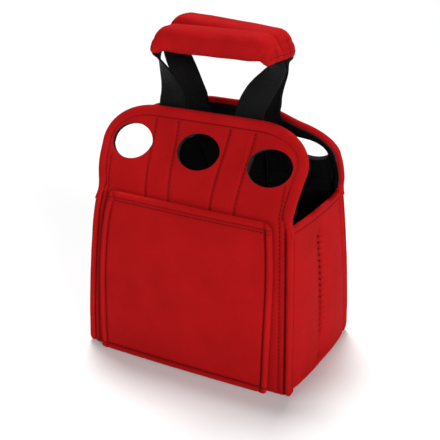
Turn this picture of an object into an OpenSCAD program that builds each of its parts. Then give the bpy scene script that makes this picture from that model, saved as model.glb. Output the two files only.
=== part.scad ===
// Six bottle carrier: a stitched neoprene tub with two flaps that lean together
// over the bottles' necks, and a padded webbing handle on each flap.
// Millimetres. X is the width, the pocket faces -Y, and Z is up from the floor.

/* [Tub] */
// Width across the corner seams at the floor
tub_w = 206; // [198:1:224]
// Width across the corner seams at the fold
fold_w = 191; // [184:1:206]
// Depth between the outer faces of the front and back walls at the corners, at the floor
tub_d = 135; // [128:1:150]
// Depth between the same faces at the fold
fold_d = 114; // [106:1:128]
// Height of the fold line, where the flaps start
fold_z = 152; // [146:1:160]
// Thickness of the neoprene panels
wall_t = 4; // [3:0.5:5]
// Thickness of the base panel
base_t = 4; // [3:0.5:8]
// How far the bottles push the front and back walls out at their middle
wall_swell = 4.2; // [1:0.2:8]
// How far they push the gussets out
side_swell = 3.5; // [1:0.5:6]
// Depth of the groove that the stitched divider draws into each gusset
side_groove = 1.4; // [0:0.2:2.4]

/* [Corner seams] */
// Width of the turned out corner seams, seen from the front
seam_w = 9.5; // [7:0.5:12]
// Depth of the corner seams, front to back
seam_d = 8.5; // [6.5:0.5:10]
// Height over which the ends of a front corner seam are rounded
seam_tip = 6; // [2:0.5:8]
// Width of the back corner seams, which are drawn in
back_seam_w = 6.5; // [5:0.5:12]
// Height over which the ends of a back corner seam are rounded
back_seam_tip = 13; // [2:0.5:16]
// How far below the fold a gusset's hemmed top edge lies
gusset_drop = 9.5; // [0:0.5:11]
// How far the gusset sits behind the outer edge of a corner seam
seam_step = 4.5; // [3:0.5:6]

/* [Flaps] */
// Width of a flap at the fold
flap_fold_w = 188; // [180:1:200]
// Width of a flap at its widest
flap_w = 196; // [188:1:204]
// Height of the widest place above the fold
flap_wide_up = 38; // [30:1:46]
// Length of the straight part of the top edge
flap_top_l = 100; // [92:1:120]
// Lean of the flap at the fold, from upright
lean_fold = 12; // [8:1:16]
// Steepest lean of the flap, beside the neck holes
lean_steep = 33; // [29:1:37]
// Lean of the flap at its top edge
lean_top = 16.5; // [12:0.5:22]
// Radius of the flap's rounded shoulder
shoulder_r = 88; // [78:1:98]
// Radius of the hollow curve above the shoulder
hollow_r = 155; // [140:1:170]
// How much further the ends of the front flap lean in than its middle, in degrees
front_droop = 2; // [0:0.5:5]
// How much further the ends of the back flap lean in than its middle, in degrees
back_droop = 10; // [0:0.5:11]

/* [Hems] */
// Width of the turned hems round the side openings and the flap tops
hem_w = 9; // [7:0.5:10.5]
// How far a hem stands proud of its panel on each face
hem_proud = 0.5; // [0.4:0.1:1.4]

/* [Neck holes] */
// Width of a neck hole
hole_w = 40; // [34:0.5:40]
// Height of a neck hole, up the slope of the flap
hole_h = 32; // [26:0.5:32]
// Distance between neighbouring neck holes, and between the bottle cells
hole_pitch = 66.5; // [65:0.5:68]
// Height of the middle of the holes above the fold
hole_up = 37.5; // [34:0.5:40]

/* [Pocket] */
// Height of the pocket's top edge above the floor
pocket_h = 149; // [120:1:149]
// Width of the pocket at its top edge
pocket_top_w = 157; // [140:1:160]
// Width of the pocket where it bows out most
pocket_mid_w = 170; // [150:1:172]
// Height at which it bows out most
pocket_mid_z = 60; // [50:1:75]
// Width of the pocket at the floor
pocket_foot_w = 168; // [150:1:170]
// How far the pocket stands proud of the front wall
pocket_proud = 4.5; // [3.6:0.1:6]
// Thickness of the pocket panel
pocket_t = 3; // [2:0.5:3.5]
// Height of the pocket's top hem
pocket_hem_h = 7.5; // [6:0.5:10]
// Width of the pocket's stitched side ridges
pocket_ridge_w = 6; // [4:0.5:8]
// Height of the pocket's stitched bottom ridge
pocket_foot_h = 5; // [3:0.5:8]

/* [Dividers] */
// Thickness of the dividers
divider_t = 2; // [1.5:0.5:3]
// Height of the dividers above the base panel
divider_h = 126; // [80:1:126]

/* [Webbing] */
// Width of the webbing
web_w = 25; // [20:0.5:26]
// Thickness of the webbing
web_t = 2; // [1.5:0.5:2.5]
// Distance of each strap's middle from the middle of the carrier, at the fold
web_x = 31.5; // [29:0.5:32]
// How far the straps splay outwards as they rise, in degrees
web_splay = 4.5; // [0:0.5:4.5]
// Length of strap that is sewn to the wall below the fold
anchor_l = 19; // [10:1:20]

/* [Grips] */
// Height of the grips' middle line
grip_z = 278; // [270:1:290]
// Distance of each grip's middle line from the middle of the carrier
grip_y = 14; // [14:0.5:18]
// Length of the straight part of a grip
grip_l = 88; // [80:1:110]
// Distance between the two ends of a grip
grip_span = 107; // [104:1:130]
// Drop of the ends below the middle line
grip_drop = 12; // [8:1:16]
// Slope of the grip at its ends
grip_slope = 56; // [35:1:62]
// Depth of a grip, front to back
grip_d = 27; // [24:0.5:27.5]
// Height of a grip
grip_h = 21.5; // [18:0.5:26]
// Height of a grip at its flattened ends
grip_end_h = 10.5; // [10:0.5:13]
// Thickness of the grip's neoprene sleeve
sleeve_t = 3; // [2:0.5:3]
// How far the front grip has moved to the right
front_shift = 2; // [0:0.5:3]
// How far the back grip has moved to the right
back_shift = 1; // [0:0.5:3]
// How much higher the back grip stands than the front one
back_rise = 2.5; // [0:0.5:5]
// Tilt of the back grip, with its left end up
back_tilt = 4.4; // [0:0.2:6]

// How far a strap carries on above the flap before it turns
strap_lift = 20; // [16:1:26]
// How far a strap carries on out of the grip before it bends down
strap_bend = 8; // [8:1:20]

/* [Clearances] */
// Space between pieces that are sewn together
seat = 0.1; // [0.05:0.05:0.2]
// Space between pieces that move against each other
joint_gap = 0.3; // [0.3:0.05:0.6]
// Space between a curved panel and a piece whose flats follow it less closely
curve_gap = 0.4; // [0.2:0.1:0.6]
// Space between the front wall and the flat pocket panel
pocket_gap = 0.6; // [0.3:0.1:0.6]

/* [Hidden] */
$fn = 48;

red = "#b5171a";
black = "#18181a";
foam_grey = "#3a3a3d";

// The pocket stands proud at the front only, so the whole is moved back by half of it
mid_y = pocket_proud / 2;
// How fast the walls draw in towards the fold, and where they swell most
taper_power = 1.7;
swell_power = 1.3;
side_power = 3;
// How square the rings of the corner seams and the grips are, from 0.5 for square to 1 for round
seam_round = 0.7;
grip_round = 0.8;
// How fast a grip drops, slopes and flattens towards its ends
drop_power = 1.4;
slope_rate = 1.3;
flatten_power = 1.3;
// Foam on each side of the webbing inside a grip, at least
foam_side = 0.5;
// Length by which a cutting shape passes what it cuts
over = 3;
wall_top = fold_z - joint_gap / 2;
gusset_top = wall_top - gusset_drop;
flap_bottom = fold_z + joint_gap / 2;

function mix(a, b, t) = a + (b - a) * t;
function flip(list) = [for (i = [len(list) - 1:-1:0]) list[i]];
function steps(a, b, n) = [for (i = [0:n]) mix(a, b, i / n)];

// Outer edge of the corner seams, and outer face of the walls beside them, at height z
function seam_x(z) = mix(tub_w, fold_w, pow(z / fold_z, taper_power)) / 2;
function edge_y(z) = mix(tub_d, fold_d, pow(z / fold_z, taper_power)) / 2;
// Where the front and back walls end against the corner seams
function wall_end(z) = seam_x(z) - seam_w - seat;
// Distance of the front wall's outer face from the middle
function wall_y(x, z) =
  edge_y(z) + wall_swell * sin(180 * pow(z / fold_z, swell_power)) * (1 - pow(x / wall_end(z), 2));
// Where a gusset ends against the corner seams
function gusset_end(z) = edge_y(z) - seam_d - seat;
// Distance of a gusset's outer face from the middle
function gusset_x(y, z) =
  seam_x(z) - seam_step
  + side_swell * (1 - pow(z / fold_z, side_power)) * (1 - pow(y / gusset_end(z), 4))
  - (abs(y) < 1 ? side_groove * (1 - pow(z / fold_z, side_power)) : 0);

// The flap's outer face, seen from the side: a rounded shoulder and then a hollow.
// lean is the slope from upright, and inward points from the outer face to the inner one.
function inward(lean) = [cos(lean), -sin(lean)];
function upward(lean) = [sin(lean), cos(lean)];
shoulder_c = [-fold_d / 2, fold_z] + shoulder_r * inward(lean_fold);
steep_pt = shoulder_c - shoulder_r * inward(lean_steep);
hollow_c = steep_pt - hollow_r * inward(lean_steep);
flap_top = hollow_c + hollow_r * inward(lean_top);
arc_steps = 8;
function flap_line(depth) = concat(
  [shoulder_c - (shoulder_r - depth) * inward(lean_fold) - over * upward(lean_fold)],
  [for (a = steps(lean_fold, lean_steep, arc_steps)) shoulder_c - (shoulder_r - depth) * inward(a)],
  [for (a = steps(lean_steep, lean_top, arc_steps)) if (a != lean_steep)
    hollow_c + (hollow_r + depth) * inward(a)],
  [hollow_c + (hollow_r + depth) * inward(lean_top) + over * upward(lean_top)]
);
// The lean and the depth of the outer face at height z
function lean_at(z) = z < steep_pt[1]
  ? asin((z - shoulder_c[1]) / shoulder_r)
  : asin((hollow_c[1] - z) / hollow_r);
function flap_y(z) = z < steep_pt[1]
  ? shoulder_c[0] - shoulder_r * cos(lean_at(z))
  : hollow_c[0] + hollow_r * cos(lean_at(z));
hole_z = fold_z + hole_up;
// The ends of a flap droop: at x it leans in by this much more, turned about the fold
droop_from = 20;
droop_to = 72;
function ease(t) = t * t * (3 - 2 * t);
function droop_at(x, droop) = droop * ease(max(0, min(1, (abs(x) - droop_from) / (droop_to - droop_from))));
// A point [depth, height] of the upright profile, turned by the droop at x
function drooped(p, x, droop) =
  let (
    a = droop_at(x, droop),
    dy = p[0] + fold_d / 2,
    dz = p[1] - fold_z
  )
  [dy * cos(a) + dz * sin(a) - fold_d / 2, fold_z + dz * cos(a) - dy * sin(a)];

// Closes two grids of points, the outer and the inner face of a panel, into one solid.
// Rows run upwards, and columns run to the right as seen from outside.
module quilt(outer, inner) {
  rows = len(outer);
  cols = len(outer[0]);
  half = rows * cols;
  points = concat([for (row = outer) for (p = row) p], [for (row = inner) for (p = row) p]);
  function at(i, j) = i * cols + j;
  faces = concat(
    [for (i = [0:rows - 2]) for (j = [0:cols - 2]) each [
      [at(i, j), at(i + 1, j), at(i + 1, j + 1)],
      [at(i, j), at(i + 1, j + 1), at(i, j + 1)],
      [half + at(i, j), half + at(i + 1, j + 1), half + at(i + 1, j)],
      [half + at(i, j), half + at(i, j + 1), half + at(i + 1, j + 1)]
    ]],
    [for (j = [0:cols - 2]) each [
      [at(0, j), at(0, j + 1), half + at(0, j + 1)],
      [at(0, j), half + at(0, j + 1), half + at(0, j)],
      [at(rows - 1, j + 1), at(rows - 1, j), half + at(rows - 1, j)],
      [at(rows - 1, j + 1), half + at(rows - 1, j), half + at(rows - 1, j + 1)]
    ]],
    [for (i = [0:rows - 2]) each [
      [at(i + 1, 0), at(i, 0), half + at(i, 0)],
      [at(i + 1, 0), half + at(i, 0), half + at(i + 1, 0)],
      [at(i, cols - 1), at(i + 1, cols - 1), half + at(i + 1, cols - 1)],
      [at(i, cols - 1), half + at(i + 1, cols - 1), half + at(i, cols - 1)]
    ]]
  );
  polyhedron(points, faces);
}

// Joins rings of as many points each into one solid, closed by its first and last ring
module loft(rings) {
  sides = len(rings[0]);
  last = len(rings) - 1;
  faces = concat(
    [[for (k = [0:sides - 1]) k]],
    [for (i = [0:last - 1]) for (k = [0:sides - 1]) each [
      [i * sides + k, (i + 1) * sides + k, (i + 1) * sides + (k + 1) % sides],
      [i * sides + k, (i + 1) * sides + (k + 1) % sides, i * sides + (k + 1) % sides]
    ]],
    [[for (k = [sides - 1:-1:0]) last * sides + k]]
  );
  polyhedron([for (ring = rings) for (p = ring) p], faces);
}

module at_front() {
  translate([0, mid_y, 0]) children();
}

module at_back() {
  translate([0, mid_y, 0]) mirror([0, 1, 0]) children();
}

module at_left() {
  mirror([1, 0, 0]) children();
}

// Tub

module base_panel() {
  wide = wall_end(0) - seat;
  deep = gusset_end(0) - seat;
  front_edge = [for (x = steps(-wide, wide, 8)) [x, wall_t + curve_gap - wall_y(x, 0)]];
  side_edge = [for (y = steps(-deep, deep, 8)) [gusset_x(y, 0) - wall_t - curve_gap, y]];
  color(black) at_front() linear_extrude(base_t) polygon(concat(
    front_edge,
    side_edge,
    [for (p = flip(front_edge)) [p[0], -p[1]]],
    [for (p = flip(side_edge)) [-p[0], p[1]]]
  ));
}

module wall() {
  rows = steps(0, wall_top, 8);
  function face(depth) = [for (z = rows) [for (u = steps(-1, 1, 12))
    [u * wall_end(z), depth - wall_y(u * wall_end(z), z), z]]];
  color(red) quilt(face(0), face(wall_t));
}

gusset_cols = [-1, -0.8, -0.5, -0.2, 0, 0.2, 0.5, 0.8, 1];

module gusset_sheet(rows, proud) {
  function face(depth) = [for (z = rows) [for (u = gusset_cols)
    [gusset_x(u * gusset_end(z), z) - depth, u * gusset_end(z), z]]];
  quilt(face(-proud), face(wall_t + proud));
}

module gusset() {
  color(red) gusset_sheet(steps(0, gusset_top - hem_w - seat, 7), 0);
}

module gusset_hem() {
  color(red) gusset_sheet(steps(gusset_top - hem_w, gusset_top, 2), hem_proud);
}

// A ring of a corner seam as wide as given: a rounded block, drawn in at both ends of the seam
function seam_ring(z, width, draw) = [for (k = [0:11])
  let (
    a = k * 30,
    cx = seam_x(z) - seam_w + width / 2,
    cy = -edge_y(z) + seam_d / 2,
    px = sign(cos(a)) * pow(abs(cos(a)), seam_round),
    py = sign(sin(a)) * pow(abs(sin(a)), seam_round)
  )
  [cx + draw * px * width / 2, cy + draw * py * seam_d / 2, z]];

module corner_seam(width, tip) {
  color(red) loft(concat(
    [for (a = [30, 50, 70]) seam_ring(tip * (1 - cos(a - 30)), width, sin(a))],
    [for (z = steps(tip, wall_top - seam_tip, 8)) seam_ring(z, width, 1)],
    [seam_ring(wall_top, width, cos(30))]
  ));
}

// Dividers

divider_z = base_t + seat;
divider_top = base_t + divider_h;

module centre_divider() {
  rows = steps(divider_z, divider_top, 6);
  edge = [for (z = rows) [gusset_x(0, z) - wall_t - seat, z]];
  color(black) at_front() rotate([90, 0, 0]) linear_extrude(divider_t, center = true)
    polygon(concat(edge, [for (p = flip(edge)) [-p[0], p[1]]]));
}

module cross_divider() {
  rows = steps(divider_z, divider_top, 6);
  near = -divider_t / 2 - seat;
  edge = [for (z = rows) [wall_t + 2 * seat - wall_y(hole_pitch / 2, z), z]];
  color(black) translate([hole_pitch / 2, 0, 0]) rotate([90, 0, 90])
    linear_extrude(divider_t, center = true)
    polygon(concat([[near, divider_z]], edge, [[near, divider_top]]));
}

// Pocket

// Half width of the pocket at height z
function pocket_x(z) = z > pocket_mid_z
  ? mix(pocket_mid_w, pocket_top_w, pow((z - pocket_mid_z) / (pocket_h - pocket_mid_z), 2)) / 2
  : mix(pocket_mid_w, pocket_foot_w, pow((pocket_mid_z - z) / pocket_mid_z, 2)) / 2;
pocket_panel_top = pocket_h - pocket_hem_h - seat;

// A sheet on the front wall, from x = a to x = b at each height, between two depths
module pocket_sheet(rows, a, b, cols, front, back) {
  function face(depth) = [for (z = rows) [for (t = steps(0, 1, cols))
    let (x = mix(a(z), b(z), t)) [x, -wall_y(x, z) - depth, z]]];
  at_front() quilt(face(front), face(back));
}

module pocket_panel() {
  inner = function (z) pocket_x(z) - pocket_ridge_w - seat;
  color(red) pocket_sheet(steps(pocket_foot_h + seat, pocket_panel_top, 7),
    function (z) -inner(z), inner, 8, pocket_gap + pocket_t, pocket_gap);
}

module pocket_top_hem() {
  inner = function (z) pocket_x(z) - pocket_ridge_w - seat;
  color(red) pocket_sheet(steps(pocket_panel_top + seat, pocket_h, 1),
    function (z) -inner(z), inner, 8, pocket_proud, pocket_gap);
}

module pocket_ridge() {
  color(red) pocket_sheet(steps(0, pocket_h, 9),
    function (z) pocket_x(z) - pocket_ridge_w, function (z) pocket_x(z), 2, pocket_proud, curve_gap);
}

module pocket_bottom_ridge() {
  inner = function (z) pocket_x(z) - pocket_ridge_w - seat;
  color(red) pocket_sheet(steps(0, pocket_foot_h, 1),
    function (z) -inner(z), inner, 8, pocket_proud, curve_gap);
}

// Flaps

// Outline of a flap, seen from the front, drawn in by a margin at its sides and top and
// carried on below the fold by a drop
function flap_corner(margin) =
  let (
    flat = flap_top_l / 2,
    wide = flap_w / 2 - margin,
    top = flap_top[1] - margin,
    side_z = fold_z + flap_wide_up
  )
  [for (a = steps(0, 90, 10)) [flat + (wide - flat) * cos(a), side_z + (top - side_z) * sin(a)]];
flap_flare = (flap_w - flap_fold_w) / 2 / flap_wide_up;
function flap_outline(margin, drop) =
  let (
    foot = [flap_fold_w / 2 - margin - drop * flap_flare, flap_bottom - drop],
    half = concat([foot], flap_corner(margin), [[droop_from, flap_top[1] - margin]])
  )
  concat(half, [for (p = flip(half)) [-p[0], p[1]]]);

module flap_blank(margin, droop, drop = 0) {
  rotate([90, 0, 0]) linear_extrude(3 * fold_d, center = true) polygon(
    [for (p = flap_outline(margin, drop))
      p[1] > flap_bottom ? [p[0], drooped([flap_y(p[1]), p[1]], p[0], droop)[1]] : p]);
}

// A sheet that follows the flap, between two depths below its outer face
module flap_sheet(front, back, droop) {
  end = flap_w / 2 + over;
  cols = concat([-end], steps(-droop_to, -droop_from, 6), steps(droop_from, droop_to, 6), [end]);
  function face(depth) = [for (p = flap_line(depth)) [for (x = cols)
    let (q = drooped(p, x, droop)) [x, q[0], q[1]]]];
  quilt(face(front), face(back));
}

module neck_hole(x, droop) {
  centre = drooped([flap_y(hole_z), hole_z], x, droop);
  translate([x, centre[0], centre[1]]) rotate([90 - lean_at(hole_z) - droop_at(x, droop), 0, 0])
    linear_extrude(8 * wall_t, center = true) scale([hole_w / hole_h, 1]) circle(d = hole_h);
}

module flap(droop) {
  color(red) difference() {
    intersection() {
      flap_sheet(0, wall_t, droop);
      flap_blank(hem_w + seat, droop);
    }
    for (i = [-1:1]) neck_hole(i * hole_pitch, droop);
  }
}

module flap_hem(droop) {
  color(red) difference() {
    intersection() {
      flap_sheet(-hem_proud, wall_t + hem_proud, droop);
      flap_blank(0, droop);
    }
    flap_blank(hem_w, droop, over);
  }
}

// Straps sewn to the inside of the flaps and the walls

web_depth = wall_t + hem_proud + seat;
// Middle of a strap at height z
function web_at(z) = web_x + (z - fold_z) * tan(web_splay);

module strap_tail(droop) {
  above = flap_top[1] + over;
  color(black) intersection() {
    flap_sheet(web_depth, web_depth + web_t, droop);
    flap_blank(0, droop);
    rotate([90, 0, 0]) linear_extrude(3 * fold_d, center = true) polygon([
      [web_at(fold_z) - web_w / 2, fold_z],
      [web_at(fold_z) + web_w / 2, fold_z],
      [web_at(above) + web_w / 2, above],
      [web_at(above) - web_w / 2, above]
    ]);
  }
}

module strap_anchor() {
  rows = steps(wall_top - anchor_l, wall_top, 3);
  function face(depth) = [for (z = rows) [for (a = [-1, 0, 1])
    let (x = web_at(z) + a * web_w / 2)
    [x, depth - wall_y(x, z), z]]];
  color(black) quilt(face(wall_t + curve_gap), face(wall_t + curve_gap + web_t));
}

// Handles

// How each handle is held: [shift to the right, rise, tilt]
front_lie = [front_shift, 0, 0];
back_lie = [back_shift, back_rise, back_tilt];
// A point of a grip, moved and turned as the grip is held
function held(p, lie) =
  [lie[0] + p[0] * cos(lie[2]) + (p[2] - grip_z) * sin(lie[2]), p[1],
   grip_z + lie[1] - p[0] * sin(lie[2]) + (p[2] - grip_z) * cos(lie[2])];

// Stations along a grip, from its left end to its right end: [x, z, slope, height]
grip_ends = [1, 0.75, 0.5, 0.25, 0];
function grip_station(t, side) = [
  side * mix(grip_l / 2, grip_span / 2, t),
  grip_z - grip_drop * pow(t, drop_power),
  side * grip_slope * min(1, slope_rate * t),
  mix(grip_h, grip_end_h, pow(t, flatten_power))
];
stations = concat(
  [for (t = grip_ends) grip_station(t, -1)],
  [for (t = flip(grip_ends)) grip_station(t, 1)]
);

// A ring round a grip at a station, smaller by inset all round
function grip_ring(s, inset, lie) = [for (k = [0:15])
  let (
    a = k * 22.5,
    across = (grip_d / 2 - inset) * sign(cos(a)) * pow(abs(cos(a)), grip_round),
    up = (s[3] / 2 - inset) * sign(sin(a)) * pow(abs(sin(a)), grip_round)
  )
  held([s[0] + up * sin(s[2]), -grip_y + across, s[1] + up * cos(s[2])], lie)];

// A flat ring for the webbing that runs along the middle of a grip
function web_ring(s, wide, thick, lie) = [for (c = [[1, 1], [-1, 1], [-1, -1], [1, -1]])
  held([s[0] + c[1] * thick / 2 * sin(s[2]), -grip_y + c[0] * wide / 2,
    s[1] + c[1] * thick / 2 * cos(s[2])], lie)];

// A station moved along the grip by a length, past its end where the length is positive
function beyond(s, length) =
  let (side = sign(s[0]), slope = abs(s[2]))
  [s[0] + side * length * cos(slope), s[1] - length * sin(slope), s[2], s[3]];
function reach(length) = [for (i = [0:len(stations) - 1])
  i == 0 || i == len(stations) - 1 ? beyond(stations[i], length) : stations[i]];
grip_web_w = min(web_w, grip_d - 2 * (sleeve_t + seat + foam_side));

module grip_sleeve(lie) {
  color(red) difference() {
    loft([for (s = stations) grip_ring(s, 0, lie)]);
    loft([for (s = reach(over)) grip_ring(s, sleeve_t, lie)]);
  }
}

module grip_foam(lie) {
  color(foam_grey) difference() {
    loft([for (s = reach(-1)) grip_ring(s, sleeve_t + seat, lie)]);
    loft([for (s = reach(over)) web_ring(s, grip_web_w + 2 * seat, web_t + 2 * seat, lie)]);
  }
}

module grip_webbing(lie) {
  color(black) loft([for (s = stations) web_ring(s, grip_web_w, web_t, lie)]);
}

// A strap from the flap's top edge to an end of the grip. It carries on up from the flap,
// turns by a quarter on its way, and bends over to enter the grip flat.
foot_depth = (web_depth + web_t / 2) / cos(lean_top);
function unit(v) = v / norm(v);

module strap(side, lie, droop) {
  end = side > 0 ? stations[len(stations) - 1] : stations[0];
  near = beyond(end, seat);
  far = beyond(end, strap_bend);
  head = held([near[0], -grip_y, near[1]], lie);
  bend = held([far[0], -grip_y, far[1]], lie);
  // The foot follows the drooping top edge of the flap
  function foot(x) =
    let (p = drooped([flap_top[0] + foot_depth, flap_top[1]], x, droop))
    [x, p[0], drooped(flap_top, x, droop)[1] + joint_gap];
  foot_x = side * web_at(flap_top[1]);
  start = foot(foot_x);
  lift = start + strap_lift * [side * tan(web_splay), sin(lean_top), cos(lean_top)];
  // A row across the strap at t of its way, on one face for k = -1 and on the other for k = 1
  function row(t, k) =
    let (
      u = 1 - t,
      c = pow(u, 3) * start + 3 * u * u * t * lift + 3 * u * t * t * bend + pow(t, 3) * head,
      along = unit(u * u * (lift - start) + 2 * u * t * (bend - lift) + t * t * (head - bend)),
      level = [cos(90 * t), side * sin(90 * t), 0],
      wide = unit(level - (level * along) * along),
      thick = cross(along, wide),
      w = mix(web_w, grip_web_w, t) / 2
    )
    [for (a = steps(-w, w, 3))
      t == 0
        ? foot(foot_x + a) + [0, k * web_t / 2 / cos(lean_top), 0]
        : c + a * wide + k * web_t / 2 * thick];
  rows = steps(0, 1, 12);
  color(black) quilt([for (t = rows) row(t, -1)], [for (t = rows) row(t, 1)]);
}

base_panel();
at_front() wall();  // front_wall
at_back() wall();  // back_wall
at_left() at_front() gusset();  // left_gusset
at_front() gusset();  // right_gusset
at_left() at_front() corner_seam(seam_w, seam_tip);  // front_left_corner_seam
at_front() corner_seam(seam_w, seam_tip);  // front_right_corner_seam
at_left() at_back() corner_seam(back_seam_w, back_seam_tip);  // back_left_corner_seam
at_back() corner_seam(back_seam_w, back_seam_tip);  // back_right_corner_seam
at_left() at_front() gusset_hem();  // left_gusset_hem
at_front() gusset_hem();  // right_gusset_hem
centre_divider();
at_left() at_front() cross_divider();  // front_left_divider
at_front() cross_divider();  // front_right_divider
at_left() at_back() cross_divider();  // back_left_divider
at_back() cross_divider();  // back_right_divider
at_left() at_front() strap_anchor();  // front_left_strap_anchor
at_front() strap_anchor();  // front_right_strap_anchor
at_left() at_back() strap_anchor();  // back_left_strap_anchor
at_back() strap_anchor();  // back_right_strap_anchor
pocket_panel();
pocket_top_hem();
at_left() pocket_ridge();  // pocket_left_ridge
pocket_ridge();  // pocket_right_ridge
pocket_bottom_ridge();
at_front() flap(front_droop);  // front_flap
at_front() flap_hem(front_droop);  // front_flap_hem
at_left() at_front() strap_tail(front_droop);  // front_left_strap_tail
at_front() strap_tail(front_droop);  // front_right_strap_tail
at_back() flap(back_droop);  // back_flap
at_back() flap_hem(back_droop);  // back_flap_hem
at_left() at_back() strap_tail(back_droop);  // back_left_strap_tail
at_back() strap_tail(back_droop);  // back_right_strap_tail
at_front() strap(-1, front_lie, front_droop);  // front_left_strap
at_front() strap(1, front_lie, front_droop);  // front_right_strap
at_front() grip_webbing(front_lie);  // front_grip_webbing
at_front() grip_foam(front_lie);  // front_grip_foam
at_front() grip_sleeve(front_lie);  // front_grip_sleeve
at_back() strap(-1, back_lie, back_droop);  // back_left_strap
at_back() strap(1, back_lie, back_droop);  // back_right_strap
at_back() grip_webbing(back_lie);  // back_grip_webbing
at_back() grip_foam(back_lie);  // back_grip_foam
at_back() grip_sleeve(back_lie);  // back_grip_sleeve
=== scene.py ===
"""Six pack carrier, sewn from red neoprene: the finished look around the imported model.

Lengths in the functions are millimetres, for the front half of the carrier, with the
pocket towards -Y. place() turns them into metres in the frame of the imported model.
"""

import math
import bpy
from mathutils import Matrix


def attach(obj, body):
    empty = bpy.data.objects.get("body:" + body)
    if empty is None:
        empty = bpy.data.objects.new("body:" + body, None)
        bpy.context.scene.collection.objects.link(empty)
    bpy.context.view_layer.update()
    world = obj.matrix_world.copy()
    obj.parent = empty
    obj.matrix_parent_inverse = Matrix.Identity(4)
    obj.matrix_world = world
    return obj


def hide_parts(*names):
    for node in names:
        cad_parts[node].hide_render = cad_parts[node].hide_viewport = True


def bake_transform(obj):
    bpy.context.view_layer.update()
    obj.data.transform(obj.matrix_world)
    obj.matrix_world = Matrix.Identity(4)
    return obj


bl_info = {
    "name": "Six pack carrier",
    "version": (1, 0, 0),
    "blender": (4, 5, 0),
    "location": "View3D > Sidebar > Carrier",
    "description": "Builds a stitched neoprene six pack carrier",
    "category": "Add Mesh",
}

from functools import partial
from types import SimpleNamespace

import bmesh
import bpy
from bpy.props import FloatProperty, FloatVectorProperty, IntProperty, PointerProperty
from mathutils import Matrix, Vector, noise
from mathutils.bvhtree import BVHTree

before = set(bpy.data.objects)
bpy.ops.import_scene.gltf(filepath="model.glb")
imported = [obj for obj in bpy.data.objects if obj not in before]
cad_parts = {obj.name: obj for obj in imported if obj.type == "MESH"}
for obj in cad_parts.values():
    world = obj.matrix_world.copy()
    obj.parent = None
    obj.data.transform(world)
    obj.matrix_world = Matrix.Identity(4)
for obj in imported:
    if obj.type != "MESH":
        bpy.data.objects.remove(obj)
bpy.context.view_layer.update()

MM = 0.001
# The front half is measured from the middle of the tub, which lies this far behind the origin
MID_Y = 2.25

# Tub
TUB_W = 206
FOLD_W = 191
TUB_D = 135
FOLD_D = 114
FOLD_Z = 152
WALL_T = 4
WALL_SWELL = 4.2
SIDE_SWELL = 3.5
TAPER_POWER = 1.7
SWELL_POWER = 1.3
SIDE_POWER = 3

# Corner seams
SEAM_W = 9.5
SEAM_D = 8.5
SEAM_TIP = 6
BACK_SEAM_W = 6.5
BACK_SEAM_TIP = 13
SEAM_STEP = 4.5
# Width of the turned out cloth that is seen beside the groove, and how far the back ones draw in
FIN_W = 6.8
BACK_TUCK = SEAM_W - BACK_SEAM_W

# Flaps
FLAP_SIDE_W = 188
FLAP_W = 196
SIDE_UP = 38
SIDE_Z = FOLD_Z + SIDE_UP
FLAP_TOP_L = 100
LEAN_FOLD = math.radians(12)
LEAN_STEEP = math.radians(33)
LEAN_TOP = math.radians(16.5)
SHOULDER_R = 88
HOLLOW_R = 155
FRONT_DROOP = math.radians(2)
BACK_DROOP = math.radians(10)
DROOP_FROM = 20
DROOP_TO = 72
HEM_PROUD = 0.5
# How far the front left corner is drawn in at the fold
CORNER_PULL = 2.4
# How far the cloth bends below and above the fold
FOLD_REACH = 6
# Heights between which the straps bend, round the flap's top edge
HANDLE_BEND_Z = (216, 231)
# How deep and how high the lower edges of walls and gussets are rounded in
FOOT_TURN_D = 1.4
FOOT_TURN_H = 2.2

# Neck holes
HOLE_W = 40
HOLE_H = 32
HOLE_PITCH = 66.5
HOLE_Z = FOLD_Z + 37.5
# How far the three holes of the front flap have moved up, from left to right
HOLE_SHIFT = (2.0, 1.4, -1.4)

# Pocket
POCKET_H = 149
POCKET_TOP_W = 157
POCKET_MID_W = 170
POCKET_MID_Z = 60
POCKET_FOOT_W = 168
POCKET_PROUD = 4.5
POCKET_T = 3
POCKET_GAP = 0.6
POCKET_RIDGE_W = 6

# Base and dividers
BASE_T = 4
DIVIDER_T = 2
DIVIDER_TOP = 130
SEAT = 0.1

# Webbing
WEB_W = 25
WEB_T = 2
WEB_X = 31.5
WEB_SPLAY = math.radians(4.5)
WEB_DEPTH = WALL_T + HEM_PROUD + SEAT
ANCHOR_L = 19
# Height on the flap where the sewn tail ends and the handle's webbing takes over
WEB_JOIN_Z = 214

# Grips
GRIP_Z = 278
GRIP_Y = 14
GRIP_L = 88
GRIP_SPAN = 107
GRIP_DROP = 12
GRIP_SLOPE = math.radians(56)
GRIP_D = 27
GRIP_H = 21.5
GRIP_WEB_W = 19.8
STRAP_LIFT = 20
STRAP_BEND = 8
JOINT_GAP = 0.3
# How each handle is held: shift to the right, rise, tilt
FRONT_LIE = (2, 0, 0)
BACK_LIE = (1, 2.5, math.radians(4.4))

# Thickness of the thread, and of the coarser thread in the puckered seams
THREAD_W = 0.6
DENT_THREAD_W = 1.1

SIDES = ("front", "back")
HANDS = (("left", -1), ("right", 1))


# Small sums ------------------------------------------------------------------------------


def mix(a, b, t):
    return a + (b - a) * t


def clamp(t):
    return max(0.0, min(1.0, t))


def ease(t):
    t = clamp(t)
    return t * t * (3 - 2 * t)


def bell(t):
    """A smooth groove or rib: 1 in its middle, about 0 from 2 on."""
    return math.exp(-t * t)


def power(value, exponent):
    """A power that keeps the sign."""
    return math.copysign(abs(value) ** exponent, value)


def steps(a, b, count):
    """Even steps from a to b, both ends among them."""
    return [mix(a, b, k / count) for k in range(count + 1)]


def rounding(t):
    """The inset of a rounded edge: 0 at t = 0, where it starts, and 1 at t = 1."""
    return 1 - math.sqrt(1 - t * t)


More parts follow.
